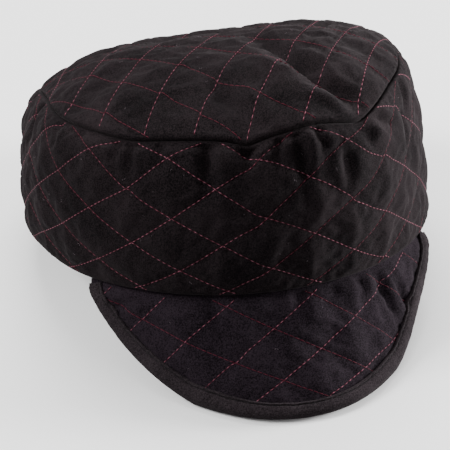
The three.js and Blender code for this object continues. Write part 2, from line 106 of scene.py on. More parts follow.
def table(*columns: np.ndarray) -> np.ndarray:
    """Return columns of numbers side by side, as a table of rows."""
    return np.stack(columns, axis=-1)


def read_points(mesh: bpy.types.Mesh) -> np.ndarray:
    """Return a mesh's points as rows of x, y, z.

    Args:
        mesh: The mesh.

    Returns:
        One row for each point.
    """
    points = np.empty(len(mesh.vertices) * 3, dtype=np.float32)
    mesh.vertices.foreach_get("co", points)
    return points.reshape(-1, 3).astype(np.float64)


def write_points(mesh: bpy.types.Mesh, points: np.ndarray) -> None:
    """Set a mesh's points from rows of x, y, z."""
    mesh.vertices.foreach_set("co", points.astype(np.float32).ravel())
    mesh.update()


def write_map(mesh: bpy.types.Mesh, name: str, places: np.ndarray) -> None:
    """Replace a mesh's UV maps by one that gives each point its own place.

    Args:
        mesh: The mesh.
        name: Name of the map.
        places: Rows of both coordinates, one for each point of the mesh.
    """
    corners = np.empty(len(mesh.loops), dtype=np.int32)
    mesh.loops.foreach_get("vertex_index", corners)
    for layer in list(mesh.uv_layers):
        mesh.uv_layers.remove(layer)
    layer = mesh.uv_layers.new(name=name)
    layer.data.foreach_set("uv", places[corners].astype(np.float32).ravel())


def select_border() -> None:
    """Select only the open border of the mesh in edit mode."""
    bpy.ops.mesh.select_all(action="DESELECT")
    bpy.ops.mesh.select_non_manifold(extend=False, use_wire=False, use_boundary=True,
                                     use_multi_face=False, use_non_contiguous=False,
                                     use_verts=False)


def face_outwards(piece: bpy.types.Object) -> None:
    """Turn the faces of a closed piece outwards and leave it in object mode.

    Args:
        piece: The piece.
    """
    make_active(piece)
    bpy.ops.object.mode_set(mode="EDIT")
    bpy.ops.mesh.select_all(action="SELECT")
    bpy.ops.mesh.normals_make_consistent(inside=False)
    bpy.ops.object.mode_set(mode="OBJECT")


def single_stitches(path: np.ndarray, start: float, pitch: float,
                    filled: float) -> tuple[np.ndarray, np.ndarray]:
    """Divide a path into single stitches.

    Args:
        path: Corners of the path, as rows.
        start: Distance along the path at which the first stitch starts.
        pitch: Distance from stitch to stitch.
        filled: Share of the pitch that a stitch covers.

    Returns:
        Rows of the places where the stitches start, and where they end.
    """
    steps = np.linalg.norm(np.diff(path, axis=0), axis=1)
    walked = np.concatenate([[0.0], np.cumsum(steps)])
    starts = np.arange(start, walked[-1] - pitch, pitch)
    ends = starts + pitch * filled
    first, last = (table(*(np.interp(at, walked, column) for column in path.T))
                   for at in (starts, ends))
    return first, last


def smooth_hash(values: np.ndarray, seed: int) -> np.ndarray:
    """Return steady pseudo-random numbers from 0 to 1 for whole numbers."""
    return np.modf(np.abs(np.sin(values * 12.9898 + seed * 78.233)) * 43758.5453)[0]


def rumple(across: np.ndarray, along: np.ndarray, seed: int) -> np.ndarray:
    """Return a seeded soft unevenness from about -1 to 1, with waves of 8 to 26 mm.

    Args:
        across: Places across the flat piece.
        along: Places along the flat piece.
        seed: Seed of the waves.

    Returns:
        The unevenness at each place.
    """
    total = np.zeros_like(across)
    for k in range(18):
        turn, length, phase = smooth_hash(np.array([3.1 * k + 1, 5.7 * k + 2, 9.3 * k + 3]), seed)
        size = 8.0 + 18.0 * length
        walk = across * math.cos(np.pi * turn) + along * math.sin(np.pi * turn)
        total = total + np.sin(2 * np.pi * (walk / size + phase)) * size / 26.0
    return total / 3.0


# ------------------------------------------------------------------ dents and folds


@dataclass(frozen=True)
class Dent:
    """One dent, fold or crease: a smooth trough laid on a flat piece, in millimetres."""

    across: float
    along: float
    turn: float
    length: float
    width: float
    depth: float

    def sunk(self, across: np.ndarray, along: np.ndarray) -> np.ndarray:
        """Measure how far the trough sinks the cloth.

        Args:
            across: Places across the flat piece.
            along: Places along the flat piece.

        Returns:
            The sinking at each place.
        """
        turn = math.radians(self.turn)
        dx = across - self.across
        dy = along - self.along
        lengthwise = (dx * math.cos(turn) + dy * math.sin(turn)) / self.length
        widthwise = (dy * math.cos(turn) - dx * math.sin(turn)) / self.width
        return self.depth * np.exp(-lengthwise**2 - widthwise**2)


@dataclass(frozen=True)
class Wave:
    """One wave by which gathered cloth pulls the crown seam out of true."""

    lobes: int
    forward: float
    sideways: float


@dataclass(frozen=True)
class Tuck:
    """One place where the crown seam is tucked down and drawn in, in degrees and millimetres."""

    angle: float
    width: float
    drop: float
    draw: float = 0.0
    sharpness: float = 2.0

    def share(self, angle: np.ndarray) -> np.ndarray:
        """Return how much of the tuck is felt at angles in radians round the head.

        Args:
            angle: Angles round the head, in radians.

        Returns:
            Shares from 0 to 1.
        """
        apart = angle - math.radians(self.angle)
        apart = apart - 2 * np.pi * np.round(apart / (2 * np.pi))
        return np.exp(-np.abs(apart / math.radians(self.width)) ** self.sharpness)


# ------------------------------------------------------------------ quilting


@dataclass(frozen=True)
class Quilt:
    """Diamond quilting of one flat piece, in millimetres."""

    width: float
    height: float
    across: float
    along: float
    turn: float
    puff: float
    fullness: float = 0.5
    # The upper rows are shifted up by this much, growing from one height to another.
    rise: float = 0.0
    rise_from: float = 59.6
    rise_to: float = 73.4
    # Lengths of the ripples beside a line, how far they reach and where they start.
    ripple: float = 6.1
    long_ripple: float = 9.7
    long_share: float = 0.6
    ripple_reach: float = 3.6
    ripple_start: float = 0.8

    def risen(self, along: np.ndarray) -> np.ndarray:
        """Return places along after the upper rows are shifted up, as cut into the seam."""
        return along + self.rise * ease(self.rise_from, self.rise_to, along)

    def lowered(self, along: np.ndarray) -> np.ndarray:
        """Return places along before the upper rows are shifted up.

        Args:
            along: Places along the flat piece.

        Returns:
            Places along.
        """
        before = along
        for _ in range(14 if self.rise else 0):
            before = along - self.rise * ease(self.rise_from, self.rise_to, before)
        return before

    def diamonds(self, across: np.ndarray, along: np.ndarray) -> tuple[np.ndarray, np.ndarray]:
        """Count diamonds from a stitched crossing.

        Args:
            across: Places across the flat piece.
            along: Places along the flat piece.

        Returns:
            Diamonds widthwise and lengthwise.
        """
        turn = math.radians(self.turn)
        dx = across - self.across
        dy = self.lowered(along) - self.along
        u = (dx * math.cos(turn) + dy * math.sin(turn)) / self.width
        v = (dy * math.cos(turn) - dx * math.sin(turn)) / self.height
        return u, v

    def place(self, u: np.ndarray, v: np.ndarray) -> tuple[np.ndarray, np.ndarray]:
        """Turn diamonds from the crossing back into places of the flat piece.

        Args:
            u: Diamonds across.
            v: Diamonds along.

        Returns:
            Places across and along.
        """
        turn = math.radians(self.turn)
        dx = u * self.width
        dy = v * self.height
        across = self.across + dx * math.cos(turn) - dy * math.sin(turn)
        along = self.along + dx * math.sin(turn) + dy * math.cos(turn)
        return across, self.risen(along)

    def swell(self, u: np.ndarray, v: np.ndarray) -> np.ndarray:
        """Return how far each place swells, from 0 on a stitch line to 1 mid-diamond."""
        pillow = np.abs(np.sin(np.pi * (u + v)) * np.sin(np.pi * (u - v)))
        return pillow**self.fullness

    def pucker(self, u: np.ndarray, v: np.ndarray, seed: int) -> np.ndarray:
        """Return the small ripples that the stitches pull up beside their lines.

        Args:
            u: Diamonds widthwise.
            v: Diamonds lengthwise.
            seed: Seed of the ripples.

        Returns:
            Ripples from -1 to 1.
        """
        side = math.hypot(self.width, self.height) / 2
        spacing = self.width * self.height / (2 * side)
        total = np.zeros_like(u)
        for key, (line, walk) in enumerate(((u + v, u - v), (u - v, u + v))):
            number = np.round(line)
            away = np.abs(line - number) * spacing
            phase = 2 * np.pi * smooth_hash(number + 50.0, seed + key)
            wave = np.sin(2 * np.pi * walk * side / self.ripple + phase)
            wave = wave + self.long_share * np.sin(2 * np.pi * walk * side / self.long_ripple
                                                   + 2.3 * phase)
            near = np.exp(-away / self.ripple_reach)
            total = total + wave * near * (1 - np.exp(-(away / self.ripple_start) ** 2))
        return total / (1 + self.long_share)

    def off_line(self, u: np.ndarray, v: np.ndarray) -> np.ndarray:
        """Return the distance in millimetres to the nearest stitch line.

        Args:
            u: Diamonds across.
            v: Diamonds along.

        Returns:
            Distances in millimetres.
        """
        spacing = self.width * self.height / math.hypot(self.width, self.height)
        rising = np.abs(u + v - np.round(u + v))
        falling = np.abs(u - v - np.round(u - v))
        return np.minimum(rising, falling) * spacing


# ------------------------------------------------------------------ form of the cap


@dataclass
class CapForm:
    """Shape of the whole cap in its own frame, before it is pitched back onto the floor."""

    rim_half_width: float = 96.2
    rim_half_length: float = 105.8
    strip_height: float = 89.0
    panel_thickness: float = 3.2
    seam_gap: float = 0.6
    seam_overlap: float = 0.25
    # Heights over the stitches between which the panels' rolled edges close the seam.
    lip_open: float = -1.5
    lip_closed: float = -2.4

    # The crown seam: an oval of four heights, moved off the rim's middle and pulled by waves.
    seam_half_width: float = 91.4
    seam_half_length: float = 89.3
    seam_forward: float = 10.0
    seam_leftward: float = 3.5
    seam_front: float = 70.5
    seam_back: float = 53.0
    seam_left: float = 68.5
    seam_right: float = 76.0
    seam_waves: tuple[Wave, ...] = (
        Wave(lobes=2, forward=5.9, sideways=3.5),
        Wave(lobes=3, forward=0.9, sideways=-4.1),
        Wave(lobes=4, forward=-1.2, sideways=3.9),
    )
    calm_from: float = 95.0
    calm_to: float = 165.0
    calm_share: float = 0.8
    crown_rise: float = 22.0
    crown_flatness: float = 3.2
    seam_tucks: tuple[Tuck, ...] = (
        Tuck(angle=-7, width=4, drop=3.4, sharpness=1.3),
        Tuck(angle=9, width=8, drop=-2.2),
        Tuck(angle=24, width=7, drop=3.6, sharpness=1.5),
        Tuck(angle=43, width=12, drop=1.0, draw=3.4),
        Tuck(angle=-38, width=9, drop=1.6),
        Tuck(angle=82, width=28, drop=0.0, draw=2.2),
        Tuck(angle=-152, width=22, drop=2.6),
    )
    foot_tucks: tuple[Tuck, ...] = (
        Tuck(angle=-78, width=13, drop=-2.4),
    )
    tuck_reach: float = 9.0
    overhang: float = 1.5
    overhang_middle: float = -20.0
    overhang_half_angle: float = 62.0
    overhang_core: float = 0.6
    overhang_from: float = 0.88
    overhang_to: float = 0.965
    # Shares of a panel at which it starts to turn into its seam, and its folds start to fade.
    crown_turn: float = 0.86
    crown_fade: float = 0.93
    band_turn: float = 0.82
    band_fade: float = 0.94
    foot_turn: float = 0.18
    # Shares of the crown and of the band at which the seam's direction is taken.
    crown_inset: float = 0.985
    band_inset: float = 0.98

    # How far the band leans off the rim, and rounds over its shoulder to the crown seam.
    lean_mean: float = -1.6
    lean_front: float = 6.9
    lean_right: float = -3.6
    lean_height: float = 0.25
    shoulder_mean: float = 15.1
    shoulder_front: float = -6.0
    shoulder_right: float = -2.2
    shoulder_drop: float = 14.7

    # The bill: its cut, its slope in degrees round the rim, and its reach at even stations.
    bill_half_angle: float = 55.7
    bill_cut_radius: float = 239.6
    bill_slope: float = 65.0
    bill_slope_ends: float = 13.8
    bill_slope_right: float = 3.1
    bill_slope_right_end: float = -9.3
    reach_from: float = -56.0
    reach_spacing: float = 16.0
    bill_reaches: tuple[float, ...] = (29.0, 39.5, 49.9, 59.0, 59.6, 49.0, 31.8, 24.5)
    root_recess: float = 1.9
    root_flush: float = 7.0
    crease_whole: float = 4.0
    crease_stop: float = 4.0
    crease_fade: float = 11.0
    fold_out: float = 0.9
    fold_under: float = 4.05

    # How the cap rests: pitched back, pressed onto the floor and moved to the frame's middle.
    pitch: float = 12.0
    pitch_lift: float = 20.1
    press_fade: float = 0.35
    floor_gap: float = 0.11
    footprint_x: float = -1.0
    footprint_y: float = -17.4

    crown_dents: tuple[Dent, ...] = (
        Dent(across=16, along=-36, turn=-73, length=15, width=5.0, depth=4.6),
        Dent(across=22, along=-56, turn=-73, length=12, width=4.5, depth=5.0),
        Dent(across=32, along=-71, turn=-45, length=9, width=4.0, depth=4.8),
        Dent(across=10, along=-57, turn=-70, length=16, width=5.0, depth=-2.2),
        Dent(across=24, along=-77, turn=-35, length=9, width=3.6, depth=-1.8),
        Dent(across=-14, along=-69, turn=-78, length=13, width=5.5, depth=5.4),
        Dent(across=-5, along=-71, turn=-80, length=11, width=4.5, depth=-1.6),
        Dent(across=38, along=-63, turn=-80, length=8, width=4.0, depth=1.8),
        Dent(across=-30, along=-60, turn=60, length=14, width=6.0, depth=1.2),
        Dent(across=-66, along=-34, turn=30, length=20, width=9.0, depth=2.0),
        Dent(across=55, along=-42, turn=100, length=14, width=6.0, depth=1.6),
        Dent(across=0, along=30, turn=10, length=40, width=16.0, depth=4.0),
    )
    band_folds: tuple[Dent, ...] = (
        Dent(across=-90, along=77, turn=-80, length=11, width=5.2, depth=6.0),
        Dent(across=-65, along=85, turn=100, length=7, width=3.0, depth=1.8),
        Dent(across=-54, along=83, turn=80, length=8, width=3.0, depth=1.2),
        Dent(across=-41, along=79, turn=88, length=9, width=2.2, depth=3.0),
        Dent(across=-37.2, along=78, turn=90, length=10, width=2.4, depth=3.4),
        Dent(across=-39.2, along=78, turn=90, length=8, width=1.8, depth=-0.6),
        Dent(across=-29, along=82, turn=96, length=8, width=2.6, depth=2.0),
        Dent(across=-17, along=76, turn=90, length=14, width=3.4, depth=4.6),
        Dent(across=-13, along=75, turn=90, length=12, width=2.6, depth=-1.4),
        Dent(across=-7, along=84, turn=90, length=8, width=3.0, depth=4.4),
        Dent(across=0.3, along=79, turn=84, length=9, width=2.2, depth=3.6),
        Dent(across=2.6, along=78, turn=90, length=8, width=1.9, depth=-1.0),
        Dent(across=4.9, along=73, turn=92, length=13, width=2.8, depth=4.2),
        Dent(across=8, along=75, turn=90, length=10, width=2.6, depth=-1.1),
        Dent(across=10.8, along=79, turn=95, length=8, width=2.2, depth=2.6),
        Dent(across=16.7, along=64, turn=92, length=8, width=3.0, depth=2.8),
        Dent(across=32.5, along=78, turn=-44, length=9, width=2.4, depth=4.2),
        Dent(across=28.5, along=75, turn=-50, length=11, width=1.8, depth=-1.8),
        Dent(across=25.5, along=72, turn=-60, length=9, width=2.6, depth=2.0),
        Dent(across=50, along=74, turn=80, length=10, width=3.0, depth=2.4),
        Dent(across=45, along=64, turn=75, length=11, width=3.0, depth=2.0),
        Dent(across=78, along=80, turn=85, length=10, width=4.0, depth=1.8),
        Dent(across=101, along=78, turn=95, length=12, width=4.0, depth=1.8),
        Dent(across=-112, along=80, turn=92, length=11, width=4.0, depth=1.8),
        Dent(across=150, along=50, turn=5, length=42, width=9.0, depth=3.0),
        Dent(across=-155, along=58, turn=-8, length=36, width=9.0, depth=3.0),
    )
    bill_creases: tuple[Dent, ...] = (
        Dent(across=27, along=14, turn=70, length=10, width=2.6, depth=2.8),
        Dent(across=33, along=17, turn=60, length=9, width=2.4, depth=2.4),
        Dent(across=36, along=25, turn=40, length=8, width=2.4, depth=2.2),
        Dent(across=20, along=6, turn=95, length=7, width=2.6, depth=2.0),
        Dent(across=-44, along=8, turn=-8, length=13, width=2.6, depth=2.6),
        Dent(across=-31, along=5.5, turn=2, length=12, width=2.2, depth=2.0),
        Dent(across=-37, along=12, turn=14, length=9, width=2.4, depth=1.4),
        Dent(across=-20, along=6, turn=80, length=7, width=2.6, depth=1.6),
        Dent(across=2, along=5, turn=84, length=6, width=2.6, depth=1.2),
    )

    @property
    def strip_radius(self) -> float:
        """Radius of the band's strip when it is rolled into a round ring."""
        return (self.rim_half_width + self.rim_half_length) / 2

    @property
    def floor_up(self) -> np.ndarray:
        """Direction up from the floor, seen in the unpitched cap."""
        pitch = math.radians(self.pitch)
        return np.array([0.0, -math.sin(pitch), math.cos(pitch)])

    def floor_height(self, points: np.ndarray) -> np.ndarray:
        """Return the height of points of the unpitched cap over the floor."""
        return points @ self.floor_up + self.pitch_lift

    def settle(self, points: np.ndarray) -> np.ndarray:
        """Pitch the cap back, set it on the floor and turn millimetres into metres.

        Args:
            points: Points of the unpitched cap.

        Returns:
            The points where they lie in the scene.
        """
        pitch = math.radians(self.pitch)
        x = points[:, 0] - self.footprint_x
        y = points[:, 1] * math.cos(pitch) + points[:, 2] * math.sin(pitch) - self.footprint_y
        z = points[:, 2] * math.cos(pitch) - points[:, 1] * math.sin(pitch) + self.pitch_lift
        return table(x, y, z) * MILLIMETRE

    # -- rim, crown and band surfaces

    def rim(self, angle: np.ndarray) -> np.ndarray:
        """Return points of the rim; the angle is 0 at the front, positive to the right.

        Args:
            angle: Angles round the head, in radians.

        Returns:
            One row for each angle.
        """
        x = self.rim_half_width * np.sin(angle)
        y = -self.rim_half_length * np.cos(angle)
        return table(x, y, np.zeros_like(angle))

    def rim_outward(self, angle: np.ndarray) -> np.ndarray:
        """Return level directions straight out from the rim.

        Args:
            angle: Angles round the head, in radians.

        Returns:
            One unit row for each angle.
        """
        x = np.sin(angle) / self.rim_half_width
        y = -np.cos(angle) / self.rim_half_length
        return unit(table(x, y, np.zeros_like(angle)))

    def crown_at(self, share: np.ndarray, angle: np.ndarray) -> np.ndarray:
        """Find the crown's surface.

        Args:
            share: 0 at the crown's middle, 1 at its seam.
            angle: Angle round the head, in radians.

        Returns:
            Points of the crown.
        """
        round_head = np.degrees(np.arccos(np.clip(np.cos(angle), -1.0, 1.0)))
        calm = 1.0 - self.calm_share * ease(self.calm_from, self.calm_to, round_head)
        pull = np.zeros_like(angle)
        for wave in self.seam_waves:
            turned = wave.lobes * angle
            size = wave.forward * np.cos(turned) + calm * wave.sideways * np.sin(turned)
            pull = pull + size * share**wave.lobes
        mean = (self.seam_front + self.seam_back + self.seam_left + self.seam_right) / 4
        ends = (self.seam_front - self.seam_back) / 2
        sides = (self.seam_right - self.seam_left) / 2
        saddle = (self.seam_front + self.seam_back - self.seam_left - self.seam_right) / 4
        height = mean + share * (ends * np.cos(angle) + sides * np.sin(angle))
        height = height + share**2 * saddle * np.cos(2 * angle)
        height = height + self.crown_rise * (1.0 - share**self.crown_flatness)
        felt = share**self.tuck_reach
        for tuck in self.seam_tucks:
            height = height - felt * tuck.drop * tuck.share(angle)
            pull = pull - felt * tuck.draw * tuck.share(angle)
        x = (share * self.seam_half_width + pull) * np.sin(angle) - self.seam_leftward * share**2
        y = -(share * self.seam_half_length + pull) * np.cos(angle) - self.seam_forward
        return table(x, y, height)

    def crown_place(self, across: np.ndarray, along: np.ndarray) -> tuple[np.ndarray, np.ndarray]:
        """Return share and angle of places of the flat crown piece.

        Args:
            across: Places across the flat piece.
            along: Places along the flat piece.

        Returns:
            Shares of the way to the seam, and angles.
        """
        x = across / self.seam_half_width
        y = -along / self.seam_half_length
        return np.hypot(x, y), np.arctan2(x, y)

    def crown_surface(self, across: np.ndarray, along: np.ndarray) -> np.ndarray:
        """Return the crown's surface over its flat piece."""
        share, angle = self.crown_place(across, along)
        return self.crown_at(share, angle)

    def band_surface(self, angle: np.ndarray, share: np.ndarray) -> np.ndarray:
        """Find the band's surface.

        Args:
            angle: Angle round the head, in radians.
            share: 0 at the rim, 1 at the crown seam.

        Returns:
            Points of the band.
        """
        foot = self.rim(angle)
        for tuck in self.foot_tucks:
            foot = foot - UP * (tuck.drop * tuck.share(angle))[:, None]
        head = self.crown_at(np.ones_like(angle), angle)
        outward = self.rim_outward(angle)
        lean = self.lean_mean + self.lean_front * np.cos(angle) + self.lean_right * np.sin(angle)
        shoulder = (self.shoulder_mean + self.shoulder_front * np.cos(angle)
                    + self.shoulder_right * np.maximum(0.0, np.sin(angle)))
        rise = self.lean_height * (head[:, 2] - foot[:, 2])
        low = foot + outward * lean[:, None] + UP * rise[:, None]
        high = head + outward * shoulder[:, None] - UP * self.shoulder_drop
        t = share[:, None]
        return (foot * (1 - t) ** 3 + 3 * low * t * (1 - t) ** 2
                + 3 * high * t**2 * (1 - t) + head * t**3)

    def surface_outward(self, surface: Callable[[np.ndarray, np.ndarray], np.ndarray],
                        a: np.ndarray, b: np.ndarray, step_a: float,
                        step_b: float) -> np.ndarray:
        """Find unit normals of a surface of two parameters.

        Args:
            surface: Method that returns points for two parameters.
            a: First parameter.
            b: Second parameter.
            step_a: Small step of the first parameter.
            step_b: Small step of the second parameter.

        Returns:
            The normals.
        """
        along_a = surface(a + step_a, b) - surface(a - step_a, b)
        along_b = surface(a, b + step_b) - surface(a, b - step_b)
        return unit(np.cross(along_a, along_b))

    def seam_outward(self, angle: np.ndarray) -> np.ndarray:
        """Return directions out of the crown seam, halfway between both panels' faces.

        Args:
            angle: Angles round the head, in radians.

        Returns:
            One unit row for each angle.
        """
        across = self.crown_inset * self.seam_half_width * np.sin(angle)
        along = -self.crown_inset * self.seam_half_length * np.cos(angle)
        crown = self.surface_outward(self.crown_surface, across, along, STEP, STEP)
        near_top = np.full_like(angle, self.band_inset)
        band = self.surface_outward(self.band_surface, angle, near_top, SMALL, SMALL)
        return unit(crown + band)

    def seam_across(self, angle: np.ndarray) -> np.ndarray:
        """Return directions across the crown seam, from the band to the crown.

        Args:
            angle: Angles round the head, in radians.

        Returns:
            One unit row for each angle.
        """
        one = np.ones_like(angle)
        ahead = self.crown_at(one, angle + SMALL) - self.crown_at(one, angle - SMALL)
        return unit(np.cross(self.seam_outward(angle), ahead))

    def seam_shift(self, height: np.ndarray) -> np.ndarray:
        """Return how far a panel stands off the crown seam's middle; deep down both meet.

        Args:
            height: Heights over the stitches.

        Returns:
            One column of millimetres.
        """
        half = self.seam_gap / 2
        closed = ease(self.lip_open, self.lip_closed, height)
        return (half - (half + self.seam_overlap) * closed)[:, None]

    # -- forming the flat pieces

    def form_crown(self, flat: np.ndarray) -> np.ndarray:
        """Bend the flat crown piece.

        Args:
            flat: Rows of place across, place along and height over the stitch level.

        Returns:
            Points of the settled cap, in metres.
        """
        across, along, height = flat.T
        share, angle = self.crown_place(across, along)
        edge = ease(self.crown_turn, 1.0, share)[:, None]
        outward = self.surface_outward(self.crown_surface, across, along, STEP, STEP)
        outward = unit(outward * (1 - edge) + self.seam_outward(angle) * edge)
        sunk = sum(dent.sunk(across, along) for dent in self.crown_dents)
        lift = height - sunk * ease(1.0, self.crown_fade, share)
        points = self.crown_surface(across, along) + outward * lift[:, None]
        points = points + self.seam_across(angle) * edge * self.seam_shift(height)
        return self.settle(points)

    def form_band(self, flat: np.ndarray) -> np.ndarray:
        """Bend the flat band strip.

        Args:
            flat: Rows of place round the strip, height up the strip and height over it.

        Returns:
            Points of the settled cap, in metres.
        """
        round_strip, up, height = flat.T
        angle = round_strip / self.strip_radius
        share = up / self.strip_height
        top = ease(self.band_turn, 1.0, share)[:, None]
        foot = ease(self.foot_turn, 0.0, share)[:, None]
        outward = self.surface_outward(self.band_surface, angle, share, SMALL, SMALL)
        outward = unit(outward * (1 - top) + self.seam_outward(angle) * top)
        outward = unit(outward * (1 - foot) + self.rim_outward(angle) * foot)
        fold = np.zeros_like(angle)
        for row in self.band_folds:
            apart = angle - math.radians(row.across)
            apart = apart - 2 * np.pi * np.round(apart / (2 * np.pi))
            centred = Dent(0.0, row.along, row.turn, row.length, row.width, row.depth)
            fold = fold + centred.sunk(apart * self.strip_radius, up)
        lift = height - fold * ease(1.0, self.band_fade, share) * (1 - foot[:, 0])
        ahead = ease(self.overhang_half_angle, self.overhang_core * self.overhang_half_angle,
                     np.abs(np.degrees(angle) - self.overhang_middle))
        outer = np.clip(1 + height / self.panel_thickness, 0.0, 1.0)
        under = ease(self.overhang_from, self.overhang_to, share)
        lift = lift - self.overhang * ahead * under * outer
        points = self.band_surface(angle, share) + outward * lift[:, None]
        points = points - self.seam_across(angle) * top * self.seam_shift(height)
        base = self.rim(angle) + self.rim_outward(angle) * height[:, None]
        sunk = np.maximum(0.0, -self.floor_height(base))
        press = sunk * (1 - ease(0.0, self.press_fade, share))
        return self.settle(points + self.floor_up * press[:, None])

    def bill_surface(self, angle: np.ndarray, distance: np.ndarray) -> np.ndarray:
        """Find the bill's surface.

        Args:
            angle: Angle round the rim, in radians.
            distance: Distance from the rim down the bill.

        Returns:
            Points of the bill.
        """
        turn = np.clip(angle / math.radians(self.bill_half_angle), -1.0, 1.0)
        slope = np.radians(self.bill_slope + self.bill_slope_ends * turn**2
                           + self.bill_slope_right * turn + self.bill_slope_right_end * turn**3)
        out = (distance * np.cos(slope))[:, None]
        down = (distance * np.sin(slope))[:, None]
        return self.rim(angle) + self.rim_outward(angle) * out - UP * down

    def bill_reach(self, angle: np.ndarray) -> np.ndarray:
        """Return how far the bill reaches from the rim, smoothly through its stations.

        Args:
            angle: Angles round the head, in radians.

        Returns:
            Millimetres for each angle.
        """
        turn = np.clip(angle / math.radians(self.bill_half_angle), -1.0, 1.0)
        reaches = np.array(self.bill_reaches)
        last = len(reaches) - 1
        place = (np.degrees(angle) - self.reach_from) / self.reach_spacing
        index = np.clip(np.floor(place), 0, last - 1).astype(int)
        f = place - index
        before = reaches[np.clip(index - 1, 0, last)]
        here = reaches[index]
        following = reaches[index + 1]
        after = reaches[np.clip(index + 2, 0, last)]
        slope_here = (following - before) / 2
        slope_next = (after - here) / 2
        reach = (here * (1 + 2 * f) * (1 - f) ** 2 + slope_here * f * (1 - f) ** 2
                 + following * f * f * (3 - 2 * f) + slope_next * f * f * (f - 1))
        return reach * np.sqrt(np.maximum(0.0, 1 - turn**2))

    def bill_flat(self, angle: np.ndarray, distance: np.ndarray) -> tuple[np.ndarray, np.ndarray]:
        """Return places of the flat bill piece, which is cut as part of a wide ring.

        Args:
            angle: Angles round the head, in radians.
            distance: Distances out from the rim.

        Returns:
            Places across and along.
        """
        turn = angle * self.strip_radius / self.bill_cut_radius
        radius = self.bill_cut_radius + distance
        return radius * np.sin(turn), radius * np.cos(turn) - self.bill_cut_radius

    def bill_place(self, across: np.ndarray, along: np.ndarray) -> tuple[np.ndarray, np.ndarray]:
        """Return angle and distance from the rim of places of the flat bill piece.

        Args:
            across: Places across the flat piece.
            along: Places along the flat piece.

        Returns:
            Angles and distances from the rim.
        """
        radius = np.hypot(across, along + self.bill_cut_radius)
        turn = np.arctan2(across, along + self.bill_cut_radius)
        return turn * self.bill_cut_radius / self.strip_radius, radius - self.bill_cut_radius

    def form_bill(self, flat: np.ndarray) -> np.ndarray:
        """Bend the flat bill piece, or the tape over its edge.

        Args:
            flat: Rows of place across, place along and height over the stitch level.

        Returns:
            Points of the settled cap, in metres.
        """
        across, along, height = flat.T
        angle, distance = self.bill_place(across, along)
        outward = -self.surface_outward(self.bill_surface, angle, distance, SMALL, STEP)
        crease = np.zeros_like(angle)
        for row in self.bill_creases:
            at_across, at_along = self.bill_flat(np.array([math.radians(row.across)]),
                                                 np.array([float(row.along)]))
            placed = Dent(float(at_across[0]), float(at_along[0]), row.turn, row.length,
                          row.width, row.depth)
            crease = crease + placed.sunk(across, along)
        reach = np.maximum(1.0, self.bill_reach(angle))
        crease = crease * ease(0.0, self.crease_whole, distance)
        crease = crease * ease(self.crease_stop, self.crease_fade, reach - distance)
        lift = height - crease - self.root_recess * ease(self.root_flush, 0.5, distance)
        points = self.bill_surface(angle, distance) + outward * lift[:, None]
        lowest = self.bill_surface(angle, reach + self.fold_out) - outward * self.fold_under
        sunk = np.maximum(0.0, self.floor_gap - self.floor_height(lowest))
        press = sunk * np.minimum(1.0, np.maximum(0.0, distance) / reach) ** 2
        return self.settle(points + self.floor_up * press[:, None])

    def bill_edge(self, share: np.ndarray) -> tuple[np.ndarray, np.ndarray]:
        """Return places of the bill's cut edge, by the share of the way round it."""
        angle = math.radians(self.bill_half_angle) * np.sin(np.pi / 2 * (2 * share - 1))
        return self.bill_flat(angle, self.bill_reach(angle))


@dataclass(frozen=True)
class CrownPull:
    """How the crown's cloth is pulled askew toward its seam."""

    span: float = 90.0
    rounds: int = 24
    step: float = 0.8
    sideways: tuple[float, float, float, float] = (12.0, 5.3, -19.8, -14.0)
    lengthwise: tuple[float, float, float, float] = (-3.7, 17.8, 6.7, -0.6)

    def shift(self, pull: tuple[float, float, float, float], across: np.ndarray,
              along: np.ndarray) -> np.ndarray:
        """Return how far one kind of pull moves places of the straight cloth.

        Args:
            pull: Millimetres by the products a b, a a, b b and b b b of the shares a and b.
            across: Places across the flat piece.
            along: Places along the flat piece.

        Returns:
            Millimetres for each place.
        """
        a = across / self.span
        b = np.minimum(0.0, along / self.span)
        return pull[0] * a * b + pull[1] * a * a + pull[2] * b * b + pull[3] * b**3

    def pulled(self, across: np.ndarray, along: np.ndarray) -> tuple[np.ndarray, np.ndarray]:
        """Move places of the straight cloth to where the pull leaves them.

        Args:
            across: Places across the flat piece.
            along: Places along the flat piece.

        Returns:
            Places across and along.
        """
        moved_across = across + self.shift(self.sideways, across, along)
        moved_along = along + self.shift(self.lengthwise, across, along)
        return moved_across, moved_along

    def straight(self, across: np.ndarray, along: np.ndarray) -> tuple[np.ndarray, np.ndarray]:
        """Find the places of the straight cloth that end where asked.

        Args:
            across: Places across the flat piece.
            along: Places along the flat piece.

        Returns:
            Places across and along.
        """
        a, b = across.copy(), along.copy()
        for _ in range(self.rounds):
            moved_a, moved_b = self.pulled(a, b)
            a = a + self.step * (across - moved_a)
            b = b + self.step * (along - moved_b)
        return a, b


# ------------------------------------------------------------------ finishes


def linear(hex_colour: str) -> tuple[float, float, float, float]:
    """Turn an sRGB colour such as "#1b191a" into linear colour with full alpha.

    Args:
        hex_colour: Six hexadecimal digits after a hash.

    Returns:
        Red, green, blue and alpha.
    """
    channels = [int(hex_colour[k:k + 2], 16) / 255 for k in (1, 3, 5)]
    flat = [c / 12.92 if c <= 0.04045 else ((c + 0.055) / 1.055) ** 2.4 for c in channels]
    return flat[0], flat[1], flat[2], 1.0


